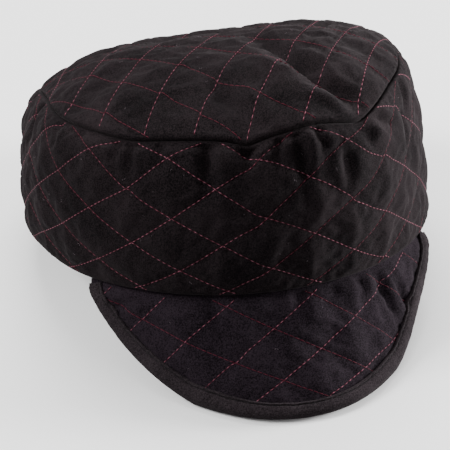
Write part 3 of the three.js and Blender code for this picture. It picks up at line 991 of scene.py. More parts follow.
def add_node(tree: bpy.types.NodeTree, kind: str, inputs: dict[str | int, object],
             **settings: object) -> bpy.types.Node:
    """Add a node with its settings, its values and its links.

    Args:
        tree: Node tree of the material.
        kind: Blender's name of the node's type.
        inputs: Values or output sockets, by the input's name or number.
        settings: Properties of the node itself.

    Returns:
        The new node.
    """
    node = tree.nodes.new(kind)
    for name, value in settings.items():
        setattr(node, name, value)
    for name, value in inputs.items():
        if isinstance(value, bpy.types.NodeSocket):
            tree.links.new(value, node.inputs[name])
        else:
            node.inputs[name].default_value = value
    return node


def new_material(name: str) -> tuple[bpy.types.Material, bpy.types.NodeTree]:
    """Make an empty node material and return it with its tree.

    Args:
        name: Name of the material.

    Returns:
        The material and its node tree.
    """
    material = bpy.data.materials.new(name)
    material.use_nodes = True
    material.node_tree.nodes.clear()
    return material, material.node_tree


@dataclass(frozen=True)
class CottonCloth:
    """Plain-woven cotton poplin, dyed black and washed soft.

    The dye sinks into the threads, so the cloth is nearly black and quite matt. Brushed fibre
    ends catch a weak pale sheen at grazing angles, and worn, pressed patches lie a little lighter.
    """

    name: str
    dark: str
    light: str
    roughness: float = 0.93
    sheen: float = 0.035
    sheen_tint: str = "#c8bdc0"
    # Real threads lie 0.35 mm apart; they are drawn 0.9 mm apart so that they just show.
    thread_spacing: float = 0.9
    thread_relief: float = 0.16
    # Crinkles of 7 mm, left by washing, and shades: patches 24 mm wide and fluff of 0.6 mm.
    crinkle_size: float = 7.0
    crinkle_relief: float = 0.3
    patch_scale: float = 42.0
    fluff_scale: float = 1750.0
    fluff_share: float = 3.2
    darkest_at: float = 1.68
    lightest_at: float = 2.52

    def make(self) -> bpy.types.Material:
        """Build the material on the piece's cloth coordinates, in millimetres.

        Returns:
            The material.
        """
        material, tree = new_material(self.name)
        cloth = add_node(tree, "ShaderNodeUVMap", {}, uv_map="cloth").outputs["UV"]
        metres = add_node(tree, "ShaderNodeTexCoord", {}).outputs["Object"]
        patches = add_node(tree, "ShaderNodeTexNoise",
                           {"Vector": metres, "Scale": self.patch_scale, "Detail": 2.0,
                            "Roughness": 0.5})
        fluff = add_node(tree, "ShaderNodeTexNoise",
                         {"Vector": metres, "Scale": self.fluff_scale, "Detail": 2.0,
                          "Roughness": 0.7})
        blend = add_node(tree, "ShaderNodeMath",
                         {0: fluff.outputs["Fac"], 1: self.fluff_share, 2: patches.outputs["Fac"]},
                         operation="MULTIPLY_ADD")
        share = add_node(tree, "ShaderNodeMapRange",
                         {"Value": blend.outputs[0], "From Min": self.darkest_at,
                          "From Max": self.lightest_at})
        colour = add_node(tree, "ShaderNodeMix",
                          {"Factor": share.outputs[0], MIX_A: linear(self.dark),
                           MIX_B: linear(self.light)}, data_type="RGBA")
        turns = 1000.0 / self.thread_spacing / 20.0
        warp, weft = (
            add_node(tree, "ShaderNodeTexWave",
                     {"Vector": cloth, "Scale": turns, "Distortion": 1.2, "Detail": 1.0,
                      "Detail Scale": 1.5}, wave_type="BANDS", bands_direction=way)
            for way in ("X", "Y"))
        weave = add_node(tree, "ShaderNodeMath", {0: warp.outputs["Fac"],
                                                  1: weft.outputs["Fac"]}, operation="MULTIPLY")
        crinkle = add_node(tree, "ShaderNodeTexNoise",
                           {"Vector": metres, "Scale": 1000.0 / self.crinkle_size,
                            "Detail": 3.0, "Roughness": 0.55})
        threads = add_node(tree, "ShaderNodeBump",
                           {"Height": weave.outputs[0], "Strength": 0.5,
                            "Distance": self.thread_relief * MILLIMETRE})
        crumple = add_node(tree, "ShaderNodeBump",
                           {"Height": crinkle.outputs["Fac"], "Strength": 0.7,
                            "Distance": self.crinkle_relief * MILLIMETRE,
                            "Normal": threads.outputs["Normal"]})
        shader = add_node(tree, "ShaderNodeBsdfPrincipled",
                          {"Base Color": colour.outputs[MIX_RESULT],
                           "Roughness": self.roughness, "IOR": 1.45,
                           "Sheen Weight": self.sheen, "Sheen Roughness": 0.45,
                           "Sheen Tint": linear(self.sheen_tint),
                           "Specular IOR Level": 0.06,
                           "Normal": crumple.outputs["Normal"]})
        add_node(tree, "ShaderNodeOutputMaterial", {"Surface": shader.outputs[0]})
        return material


@dataclass(frozen=True)
class SewingThread:
    """Twisted polyester sewing thread, a little glossy.

    A stitch is pulled down at both ends, so its middle is painted paler as a highlight and its
    ends stay dark as painted shade.
    The twist gives each stitch its own shade.
    """

    name: str
    # dark is the thread's own deep red, kept as painted shade at the stitch ends; light is a
    # painted highlight on the stitch middles.
    dark: str
    light: str
    roughness: float = 0.55
    shade_scale: float = 260.0
    darkest_at: float = 0.08
    lightest_at: float = 0.5

    def make(self) -> bpy.types.Material:
        """Build the material; shades follow each stitch's own place, and a painted highlight lies
        on its middle.

        Returns:
            The material.
        """
        material, tree = new_material(self.name)
        metres = add_node(tree, "ShaderNodeTexCoord", {}).outputs["Object"]
        shades = add_node(tree, "ShaderNodeTexNoise",
                          {"Vector": metres, "Scale": self.shade_scale, "Detail": 1.0,
                           "Roughness": 0.5})
        stitch = add_node(tree, "ShaderNodeUVMap", {}, uv_map="stitch").outputs["UV"]
        along = add_node(tree, "ShaderNodeSeparateXYZ", {"Vector": stitch}).outputs["X"]
        # Painted highlight: by the stitch map, each stitch's middle is painted towards the light
        # colour, and its ends stay dark as painted shade.
        painted_highlight = add_node(tree, "ShaderNodeMapRange", {"Value": along, "From Min": 0.3,
                                                      "From Max": 1.0})
        blend = add_node(tree, "ShaderNodeMath", {0: shades.outputs["Fac"],
                                                  1: painted_highlight.outputs[0]}, operation="MULTIPLY")
        share = add_node(tree, "ShaderNodeMapRange",
                         {"Value": blend.outputs[0], "From Min": self.darkest_at,
                          "From Max": self.lightest_at})
        colour = add_node(tree, "ShaderNodeMix",
                          {"Factor": share.outputs[0], MIX_A: linear(self.dark),
                           MIX_B: linear(self.light)}, data_type="RGBA")
        shader = add_node(tree, "ShaderNodeBsdfPrincipled",
                          {"Base Color": colour.outputs[MIX_RESULT],
                           "Roughness": self.roughness, "IOR": 1.5,
                           "Specular IOR Level": 0.12})
        add_node(tree, "ShaderNodeOutputMaterial", {"Surface": shader.outputs[0]})
        return material


@dataclass(frozen=True)
class PaperSweep:
    """Matt white background paper, whose uncoated fibres scatter light evenly."""

    name: str
    shade: str
    roughness: float = 0.9

    def make(self) -> bpy.types.Material:
        """Build the material.

        Returns:
            The material.
        """
        material, tree = new_material(self.name)
        shader = add_node(tree, "ShaderNodeBsdfPrincipled",
                          {"Base Color": linear(self.shade), "Roughness": self.roughness})
        add_node(tree, "ShaderNodeOutputMaterial", {"Surface": shader.outputs[0]})
        return material


# ------------------------------------------------------------------ padded panels


def tag_piece(piece: bpy.types.Object, node: str | None = None) -> None:
    """Hang a finished piece on the root, and hide the CAD part that it stands for when one is
    named.

    Args:
        piece: The finished piece.
        node: CAD node that it stands for.
    """
    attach(piece, "root")
    if node is not None:
        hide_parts(node)


# How stiff and heavy the swelling cloth is.
POPLIN = {"quality": 5, "mass": 0.15, "tension_stiffness": 12, "compression_stiffness": 8,
          "shear_stiffness": 4, "bending_stiffness": 0.08, "use_pressure": True}


@dataclass
class PaddedPanel:
    """One quilted panel, laid out flat, cut, bent into shape, swollen and backed."""

    name: str
    slot: str
    form: CapForm
    quilt: Quilt
    finish: CottonCloth
    fill: float = 0.4
    steps: int = 20
    roll: float = 2.4
    start_swell: float = 0.6
    growth: float = 0.026
    pressure: float = 3.0
    frames: int = 20
    most_swell: float = 1.6
    # Distances from a stitch line within which the cloth is bound, and beyond which it is free.
    bound_within: float = 0.45
    free_beyond: float = 0.9
    pucker: float = 0.3
    rumple: float = 0.22
    seed: int = 1

    def bend(self, flat: np.ndarray) -> np.ndarray:
        """Bend flat points of this panel into the cap, in metres."""
        raise NotImplementedError

    def held(self, across: np.ndarray, along: np.ndarray) -> np.ndarray:
        """Return how free the padding is to swell, from 0 at a sewn edge to 1."""
        raise NotImplementedError

    def from_edge(self, across: np.ndarray, along: np.ndarray) -> np.ndarray:
        """Return the distance in millimetres to the nearest rolled edge."""
        raise NotImplementedError

    def diamonds(self, across: np.ndarray, along: np.ndarray) -> tuple[np.ndarray, np.ndarray]:
        """Count diamonds from the stitched crossing, widthwise and lengthwise."""
        return self.quilt.diamonds(across, along)

    def swollen(self, flat: np.ndarray, amount: float) -> np.ndarray:
        """Raise a flat sheet into its puffs and roll its edges down.

        Args:
            flat: Rows of place across, place along and height.
            amount: Share of the full puff height.

        Returns:
            The raised rows.
        """
        across, along = flat[:, 0], flat[:, 1]
        u, v = self.diamonds(across, along)
        free = self.held(across, along)
        height = amount * self.quilt.puff * free * self.quilt.swell(u, v)
        height = height + self.pucker * free * self.quilt.pucker(u, v, self.seed)
        height = height + self.rumple * free * rumple(across, along, self.seed)
        inside = np.clip(self.roll - self.from_edge(across, along), 0.0, self.roll)
        height = height - (self.roll - np.sqrt(self.roll**2 - inside**2))
        return table(across, along, height)

    def lay_grid(self, first: tuple[int, int], last: tuple[int, int]) -> bpy.types.Object:
        """Lay a flat grid whose squares are steps of the quilting.

        Args:
            first: Lowest step widthwise and lengthwise.
            last: Highest step widthwise and lengthwise.

        Returns:
            The grid, with steps of the quilting as its x and y.
        """
        put_in_object_mode()
        columns, rows = last[0] - first[0], last[1] - first[1]
        bpy.ops.mesh.primitive_grid_add(x_subdivisions=columns, y_subdivisions=rows, size=2)
        piece = bpy.context.object
        piece.name = self.name
        points = read_points(piece.data)
        points[:, 0] = first[0] + np.round((points[:, 0] + 1) / 2 * columns)
        points[:, 1] = first[1] + np.round((points[:, 1] + 1) / 2 * rows)
        points[:, 2] = 0.0
        write_points(piece.data, points)
        return piece

    def trim(self, piece: bpy.types.Object, outline: np.ndarray, inside: np.ndarray) -> None:
        """Cut a flat sheet to an outline and draw its ragged border onto that outline.

        Args:
            piece: The flat sheet.
            outline: Rows of place across and place along round the outline.
            inside: Whether each point of the sheet lies inside the outline.
        """
        mesh = bmesh.new()
        mesh.from_mesh(piece.data)
        mesh.faces.ensure_lookup_table()
        away = [face for face in mesh.faces
                if not any(inside[corner.index] for corner in face.verts)]
        border = [vert for vert in mesh.verts if not inside[vert.index]
                  and any(inside[c.index] for face in vert.link_faces for c in face.verts)]
        for vert in border:
            near = np.argmin((outline[:, 0] - vert.co.x) ** 2 + (outline[:, 1] - vert.co.y) ** 2)
            vert.co.x, vert.co.y = outline[near]
        bmesh.ops.delete(mesh, geom=away, context="FACES")
        bmesh.ops.dissolve_degenerate(mesh, dist=WELD, edges=mesh.edges[:])
        mesh.to_mesh(piece.data)
        mesh.free()

    def crease_stitch_lines(self, piece: bpy.types.Object) -> None:
        """Split the flat squares that a stitch line crosses, so that it lies in a sharp valley.

        Args:
            piece: The flat piece.
        """
        mesh = bmesh.new()
        mesh.from_mesh(piece.data)
        places = np.array([vert.co for vert in mesh.verts])
        u, v = self.diamonds(places[:, 0], places[:, 1])
        lines = (u + v, u - v)
        for face in list(mesh.faces):
            corners = list(face.verts)
            if len(corners) != 4:
                continue
            for first, second in ((corners[0], corners[2]), (corners[1], corners[3])):
                a, b = first.index, second.index
                if any(abs(line[a] - line[b]) < ON_LINE
                       and abs(line[a] - round(line[a])) < ON_LINE for line in lines):
                    bmesh.utils.face_split(face, first, second)
                    break
        mesh.to_mesh(piece.data)
        mesh.free()

    def keep_flat(self, piece: bpy.types.Object) -> np.ndarray:
        """Store the flat places on the sheet's points, and return them.

        Args:
            piece: The flat piece.

        Returns:
            One row for each point.
        """
        flat = read_points(piece.data)
        places = piece.data.attributes.new("flat", "FLOAT_VECTOR", "POINT")
        places.data.foreach_set("vector", flat.astype(np.float32).ravel())
        return flat

    def read_flat(self, mesh: bpy.types.Mesh) -> np.ndarray:
        """Return the flat places stored on a mesh's points.

        Args:
            mesh: The mesh.

        Returns:
            One row for each point.
        """
        flat = np.empty(len(mesh.vertices) * 3, dtype=np.float32)
        mesh.attributes["flat"].data.foreach_get("vector", flat)
        return flat.reshape(-1, 3).astype(np.float64)

    def blow_up(self, piece: bpy.types.Object, flat: np.ndarray) -> float:
        """Let the cloth between the stitch lines grow and swell by cloth simulation.

        Args:
            piece: The bent sheet.
            flat: Its flat places.

        Returns:
            The farthest that a point moved, in millimetres.
        """
        across, along = flat[:, 0], flat[:, 1]
        u, v = self.diamonds(across, along)
        off_line = self.quilt.off_line(u, v)
        bound = np.maximum(ease(self.free_beyond, self.bound_within, off_line),
                           1.0 - ease(0.0, 0.25, self.held(across, along)))
        before = read_points(piece.data)
        group = piece.vertex_groups.new(name="bound")
        for level in np.unique(np.round(bound, 1)):
            members = np.nonzero(np.round(bound, 1) == level)[0]
            group.add(members.tolist(), float(level), "REPLACE")
        cloth = piece.modifiers.new("swell", "CLOTH")
        for setting, value in POPLIN.items():
            setattr(cloth.settings, setting, value)
        cloth.settings.uniform_pressure_force = self.pressure
        cloth.settings.shrink_min = -self.growth
        cloth.settings.vertex_group_mass = "bound"
        cloth.settings.effector_weights.gravity = 0.0
        cloth.collision_settings.use_collision = False
        cloth.point_cache.frame_start = 1
        cloth.point_cache.frame_end = self.frames
        scene = bpy.context.scene
        for number in range(1, self.frames + 1):
            scene.frame_set(number)
        make_active(piece)
        bpy.ops.object.modifier_apply(modifier=cloth.name)
        scene.frame_set(1)
        moved = read_points(piece.data) - before
        far = np.linalg.norm(moved, axis=1)
        cap = self.most_swell * MILLIMETRE
        scale = cap * np.tanh(far / cap) / np.maximum(far, 1e-12)
        write_points(piece.data, before + moved * scale[:, None])
        piece.vertex_groups.clear()
        return float(far.max() / MILLIMETRE)

    def back_with_lining(self, piece: bpy.types.Object) -> None:
        """Extrude the sheet inwards to the flat lining and close its edges.

        Args:
            piece: The bent sheet.
        """
        make_active(piece)
        bpy.ops.object.mode_set(mode="EDIT")
        bpy.ops.mesh.select_all(action="SELECT")
        bpy.ops.mesh.extrude_region_move(TRANSFORM_OT_translate={"value": (0, 0, 0)})
        bpy.ops.object.mode_set(mode="OBJECT")
        mesh = piece.data
        flat = self.read_flat(mesh)
        points = read_points(mesh)
        moved = np.empty(len(mesh.vertices), dtype=bool)
        mesh.vertices.foreach_get("select", moved)
        flat[:, 2] = -self.form.panel_thickness
        points[moved] = self.bend(flat)[moved]
        write_points(mesh, points)
        face_outwards(piece)

    def add_cloth_map(self, piece: bpy.types.Object) -> None:
        """Give the piece a map of its cloth, in metres, so that the weave follows it."""
        write_map(piece.data, "cloth", self.read_flat(piece.data)[:, :2] * MILLIMETRE)

    def finish_piece(self, piece: bpy.types.Object, node: str) -> bpy.types.Object:
        """Bend, swell, back, map and dress the flat sheet.

        Args:
            piece: The flat, trimmed sheet.
            node: CAD node that it stands for.

        Returns:
            The finished panel.
        """
        self.crease_stitch_lines(piece)
        flat = self.keep_flat(piece)
        write_points(piece.data, self.bend(self.swollen(flat, self.start_swell)))
        far = self.blow_up(piece, flat)
        LOG.info("%s swelled by %.2f mm", self.name, far)
        self.back_with_lining(piece)
        self.add_cloth_map(piece)
        piece.data.attributes.remove(piece.data.attributes["flat"])
        piece.data.materials.clear()
        piece.data.materials.append(self.finish.make())
        make_active(piece)
        bpy.ops.object.shade_smooth()
        tag_piece(piece, node)
        return piece


@dataclass
class CrownTop(PaddedPanel):
    """The oval quilted top of the crown."""

    pull: CrownPull = field(default_factory=CrownPull)
    first_step: tuple[int, int] = (-100, -40)
    last_step: tuple[int, int] = (80, 100)
    grid_share: float = 0.97
    held_share: float = 1.02
    free_share: float = 0.9
    outline_points: int = 1440
    ring_shares: tuple[float, ...] = (0.976, 0.982, 0.988, 0.9935, 0.9975, 1.0)

    def bend(self, flat: np.ndarray) -> np.ndarray:
        """Bend flat points of the crown into the cap, in metres."""
        return self.form.form_crown(flat)

    def held(self, across: np.ndarray, along: np.ndarray) -> np.ndarray:
        """Hold the padding at the seam."""
        share, _ = self.form.crown_place(across, along)
        return ease(self.held_share, self.free_share, share)

    def from_edge(self, across: np.ndarray, along: np.ndarray) -> np.ndarray:
        """Measure to the crown seam."""
        share, _ = self.form.crown_place(across, along)
        return (1.0 - share) * (self.form.seam_half_width + self.form.seam_half_length) / 2

    def diamonds(self, across: np.ndarray, along: np.ndarray) -> tuple[np.ndarray, np.ndarray]:
        """Count diamonds after undoing the askew pull of the cloth."""
        return self.quilt.diamonds(*self.pull.straight(across, along))

    def build(self) -> bpy.types.Object:
        """Make the crown top.

        Returns:
            The piece, in metres.
        """
        piece = self.lay_grid(self.first_step, self.last_step)
        steps = read_points(piece.data)
        across, along = self.pull.pulled(*self.quilt.place(steps[:, 0] / self.steps,
                                                           steps[:, 1] / self.steps))
        write_points(piece.data, table(across, along, np.zeros_like(across)))
        turn = np.linspace(0, 2 * np.pi, self.outline_points, endpoint=False)
        outline = table(self.form.seam_half_width * np.sin(turn),
                        -self.form.seam_half_length * np.cos(turn))
        share, _ = self.form.crown_place(across, along)
        self.trim(piece, outline * self.grid_share, share < self.grid_share)
        make_active(piece)
        bpy.ops.object.mode_set(mode="EDIT")
        bpy.ops.mesh.select_mode(type="EDGE")
        select_border()
        here = self.grid_share
        for share in self.ring_shares:
            bpy.ops.mesh.extrude_edges_move(TRANSFORM_OT_translate={"value": (0, 0, 0)})
            grow = share / here
            bpy.ops.transform.resize(value=(grow, grow, 1.0), center_override=(0, 0, 0))
            here = share
        bpy.ops.mesh.select_mode(type="VERT")
        bpy.ops.object.mode_set(mode="OBJECT")
        return self.finish_piece(piece, "crown_top")


@dataclass
class SideBand(PaddedPanel):
    """The tall quilted band, closed by a seam at the back."""

    foot_roll: float = 1.5
    edge_rows: tuple[float, ...] = (0.0, 0.2, 0.6, 1.2, 2.0, 3.0)
    row_gap: float = 0.6
    calm_edge: float = 9.0

    def bend(self, flat: np.ndarray) -> np.ndarray:
        """Bend flat points of the band into the cap, in metres."""
        return self.form.form_band(flat)

    def held(self, across: np.ndarray, along: np.ndarray) -> np.ndarray:
        """Hold the padding at the rim and at the crown seam."""
        top = self.form.strip_height
        return ease(0.0, self.calm_edge, along) * ease(top, top - self.calm_edge, along)

    def from_edge(self, across: np.ndarray, along: np.ndarray) -> np.ndarray:
        """Measure to the rim, which is rolled less, or to the crown seam."""
        return np.minimum(along + self.roll - self.foot_roll, self.form.strip_height - along)

    def build(self) -> bpy.types.Object:
        """Make the side band.

        Returns:
            The piece, in metres.
        """
        step = self.quilt.height / self.steps
        last_edge = self.edge_rows[-1] + self.row_gap
        low = math.ceil((last_edge - self.quilt.along) / step)
        last = float(self.quilt.lowered(np.array(self.form.strip_height - last_edge)))
        high = math.floor((last - self.quilt.along) / step)
        rows = list(self.edge_rows)
        rows += self.quilt.risen(self.quilt.along + step * np.arange(low, high + 1)).tolist()
        rows += [self.form.strip_height - row for row in reversed(self.edge_rows)]
        around = round(2 * np.pi * self.form.strip_radius / self.quilt.width) * self.steps
        piece = self.lay_grid((-around // 2, 0), (around // 2, len(rows) - 1))
        steps = read_points(piece.data)
        across = self.quilt.across + steps[:, 0] * self.quilt.width / self.steps
        along = np.array(rows)[steps[:, 1].astype(int)]
        write_points(piece.data, table(across, along, np.zeros_like(across)))
        return self.finish_piece(piece, "side_band")

    def back_with_lining(self, piece: bpy.types.Object) -> None:
        """Back the band with its lining and join its two ends at the back.

        Args:
            piece: The bent sheet.
        """
        super().back_with_lining(piece)
        flat = self.read_flat(piece.data)
        ends = {flat[:, 0].min(), flat[:, 0].max()}
        mesh = bmesh.new()
        mesh.from_mesh(piece.data)
        mesh.verts.ensure_lookup_table()
        closing = [face for face in mesh.faces
                   if all(min(abs(flat[c.index, 0] - end) for end in ends) < 1e-3
                          for c in face.verts)]
        bmesh.ops.delete(mesh, geom=closing, context="FACES_ONLY")
        loose = [edge for edge in mesh.edges if not edge.link_faces]
        bmesh.ops.delete(mesh, geom=loose, context="EDGES")
        bmesh.ops.remove_doubles(mesh, verts=mesh.verts[:], dist=WELD * MILLIMETRE)
        bmesh.ops.recalc_face_normals(mesh, faces=mesh.faces[:])
        mesh.to_mesh(piece.data)
        mesh.free()


@dataclass
class Bill(PaddedPanel):
    """The short quilted bill."""

    root_gap: float = -1.1
    root_roll: float = 1.3
    tape_width: float = 7.0
    first_step: tuple[int, int] = (-70, -90)
    last_step: tuple[int, int] = (90, 70)
    end_share: float = 0.017
    calm_root: float = 8.0
    under_tape: float = 1.0
    off_tape: float = 7.0
    edge_points: int = 900
    root_points: int = 500

    def bend(self, flat: np.ndarray) -> np.ndarray:
        """Bend flat points of the bill into the cap, in metres."""
        return self.form.form_bill(flat)

    def held(self, across: np.ndarray, along: np.ndarray) -> np.ndarray:
        """Hold the padding at the rim and under the tape.

        Args:
            across: Places across the flat piece.
            along: Places along the flat piece.

        Returns:
            Shares from 0, held flat, to 1, free.
        """
        angle, distance = self.form.bill_place(across, along)
        left = self.form.bill_reach(angle) - distance
        by_tape = ease(self.tape_width - self.under_tape, self.tape_width + self.off_tape, left)
        return ease(0.0, self.calm_root, distance) * by_tape

    def from_edge(self, across: np.ndarray, along: np.ndarray) -> np.ndarray:
        """Measure to the rim, where the bill's edge is rolled into the seam."""
        _, distance = self.form.bill_place(across, along)
        return distance - self.root_gap + self.roll - self.root_roll

    def build(self) -> bpy.types.Object:
        """Make the bill.

        Returns:
            The piece, in metres.
        """
        piece = self.lay_grid(self.first_step, self.last_step)
        steps = read_points(piece.data)
        across, along = self.quilt.place(steps[:, 0] / self.steps, steps[:, 1] / self.steps)
        write_points(piece.data, table(across, along, np.zeros_like(across)))
        shares = np.linspace(self.end_share, 1 - self.end_share, self.edge_points)
        edge_across, edge_along = self.form.bill_edge(shares)
        widest = math.sin(math.pi / 2 * (1 - 2 * self.end_share))
        ends = math.radians(self.form.bill_half_angle) * widest
        turn = np.linspace(ends, -ends, self.root_points)
        root_across, root_along = self.form.bill_flat(turn, np.full_like(turn, self.root_gap))
        outline = table(np.concatenate([edge_across, root_across]),
                        np.concatenate([edge_along, root_along]))
        angle, distance = self.form.bill_place(across, along)
        inside = ((np.abs(angle) < ends) & (distance > self.root_gap)
                  & (distance < self.form.bill_reach(angle)))
        self.trim(piece, outline, inside)
        return self.finish_piece(piece, "bill")


# ------------------------------------------------------------------ binding tape


@dataclass
class BillBinding:
    """The tape folded over the bill's edge and stitched down along its inner side."""

    form: CapForm
    finish: CottonCloth
    thread: SewingThread
    stations: int = 260
    from_share: float = 1 / 30
    to_share: float = 29 / 30
    groove: float = -5.75
    groove_height: float = 1.12
    length: float = 300.0
    edge_step: float = 0.002
    outer_from: float = 0.45
    inner_until: float = -4.5
    corner_width: float = 0.8
    crisp_angle: float = 55.0
    stitch_inset: float = 0.004
    facing: tuple[float, float, float] = (0.0, -0.9, 0.44)
    ripple: float = 0.16
    waver: float = 0.22
    ripple_seed: int = 3
    waver_seed: int = 5
    # The folded section: out across the bill's edge, and up over its outer face.
    section: tuple[tuple[float, float], ...] = (
        (-7.0, 0.75), (-6.95, 1.25), (-6.6, 1.6), (-6.2, 1.55), (-5.95, 1.22), (-5.75, 1.0),
        (-5.5, 1.24), (-5.1, 1.56), (-4.2, 1.74), (-3.0, 1.78), (-1.8, 1.7), (-0.9, 1.5),
        (-0.1, 1.14), (0.6, 0.6), (1.15, -0.2), (1.45, -1.1), (1.5, -2.0), (1.35, -3.0),
        (0.9, -4.05), (0.2, -4.7), (-0.7, -5.03), (-3.0, -5.05), (-5.6, -5.05), (-7.0, -5.05),
        (-7.0, -3.95), (-5.0, -3.95), (-2.0, -3.95), (0.1, -3.95), (0.38, -2.6), (0.4, -1.2),
        (0.2, 0.3), (-0.4, 0.4), (-2.5, 0.4), (-5.0, 0.4), (-7.0, 0.4),
    )

    def ripples(self, place: np.ndarray, seed: int) -> np.ndarray:
        """Return a seeded uneven ripple from -1 to 1 along the tape, in millimetres.

        Args:
            place: Places along the tape, in millimetres.
            seed: Number that fixes the ripple.

        Returns:
            One height for each place.
        """
        total = np.zeros_like(place)
        for k, length in enumerate((5.3, 7.9, 12.7, 23.0)):
            phase = 2 * np.pi * float(smooth_hash(np.array([k + 1.0]), seed)[0])
            total = total + np.sin(2 * np.pi * place / length + phase)
        return total / 4

    def spot(self, share: np.ndarray, out: np.ndarray, height: np.ndarray) -> np.ndarray:
        """Find flat places beside the bill's cut edge.

        Args:
            share: Share of the way round the edge.
            out: Distance out across the edge.
            height: Height over the bill's stitch level.

        Returns:
            Rows of place across, place along and height.
        """
        here = table(*self.form.bill_edge(share))
        ahead = table(*self.form.bill_edge(share + self.edge_step))
        behind = table(*self.form.bill_edge(share - self.edge_step))
        way = unit(ahead - behind)
        across = here[:, 0] - out * way[:, 1]
        along = here[:, 1] + out * way[:, 0]
        return table(across, along, height)

    def build(self) -> bpy.types.Object:
        """Make the tape.

        Returns:
            The piece, in metres.
        """
        put_in_object_mode()
        count = len(self.section)
        bpy.ops.mesh.primitive_grid_add(x_subdivisions=self.stations, y_subdivisions=count,
                                        size=2)
        piece = bpy.context.object
        piece.name = "bill_binding_tape"
        steps = read_points(piece.data)
        station = np.round((steps[:, 0] + 1) / 2 * self.stations)
        corner = np.round((steps[:, 1] + 1) / 2 * count).astype(int) % count
        share = self.from_share + (self.to_share - self.from_share) * station / self.stations
        rows = np.array(self.section)[corner]
        length = share * self.length
        out, height = rows[:, 0].copy(), rows[:, 1].copy()
        upper = height > self.outer_from
        inner_side = out < self.inner_until
        ripple = self.ripple * self.ripples(length, self.ripple_seed)
        waver = self.waver * self.ripples(length, self.waver_seed)
        height = height + np.where(upper, ripple, 0.0)
        out = out + np.where(inner_side & upper, waver, 0.0)
        flat = self.spot(share, out, height)
        write_points(piece.data, self.form.form_bill(flat))
        places = table(length, (corner + 1) * self.corner_width)
        write_map(piece.data, "cloth", places * MILLIMETRE)
        make_active(piece)
        bpy.ops.object.mode_set(mode="EDIT")
        bpy.ops.mesh.select_all(action="SELECT")
        bpy.ops.mesh.remove_doubles(threshold=0.005 * MILLIMETRE)
        select_border()
        bpy.ops.mesh.fill(use_beauty=True)
        face_outwards(piece)
        bpy.ops.object.shade_smooth_by_angle(angle=math.radians(self.crisp_angle))
        piece.data.materials.clear()
        piece.data.materials.append(self.finish.make())
        tag_piece(piece, "bill_binding")
        return piece

    def stitch_ends(self, pitch: float, share_filled: float) -> tuple[np.ndarray, np.ndarray]:
        """Find both ends of each stitch in the groove along the tape.

        Args:
            pitch: Distance from stitch to stitch.
            share_filled: Share of the pitch that a stitch covers.

        Returns:
            Both rows of points, in metres.
        """
        fine = np.linspace(self.from_share + self.stitch_inset,
                           self.to_share - self.stitch_inset, 3000)
        waver = self.waver * self.ripples(fine * self.length, self.waver_seed)
        ripple = self.ripple * self.ripples(fine * self.length, self.ripple_seed)
        height = self.groove_height + ripple
        path = self.form.form_bill(self.spot(fine, self.groove + waver, height))
        return single_stitches(path, 0.0, pitch * MILLIMETRE, share_filled)


# ------------------------------------------------------------------ laying things on a panel


@dataclass
class Sheet:
    """A finished panel that stitches and lint are laid on."""

    panel: PaddedPanel
    piece: bpy.types.Object
    start_above: float = 5.0
    search: float = 9.0
    tree: BVHTree | None = None

    def land(self, flat: np.ndarray) -> tuple[np.ndarray, np.ndarray]:
        """Find where flat places of the panel lie on its finished outer face.

        Args:
            flat: Rows of place across, place along and height.

        Returns:
            Points on the face in metres, and the directions out of it.
        """
        if self.tree is None:
            corners = [Vector(point) for point in read_points(self.piece.data)]
            faces = [tuple(face.vertices) for face in self.piece.data.polygons]
            self.tree = BVHTree.FromPolygons(corners, faces)
        base = self.panel.bend(flat)
        outward = unit(self.panel.bend(flat + np.array([0.0, 0.0, 1.0])) - base)
        high = base + outward * self.start_above * MILLIMETRE
        landed = base.copy()
        for row, (start, way) in enumerate(zip(high, outward)):
            hit = self.tree.ray_cast(Vector(start), Vector(-way), self.search * MILLIMETRE)[0]
            if hit is not None:
                landed[row] = hit
        return landed, outward


# ------------------------------------------------------------------ stitches


class StitchLine(Enum):
    """The two directions of the quilting lines."""

    RISING = "rising"
    FALLING = "falling"


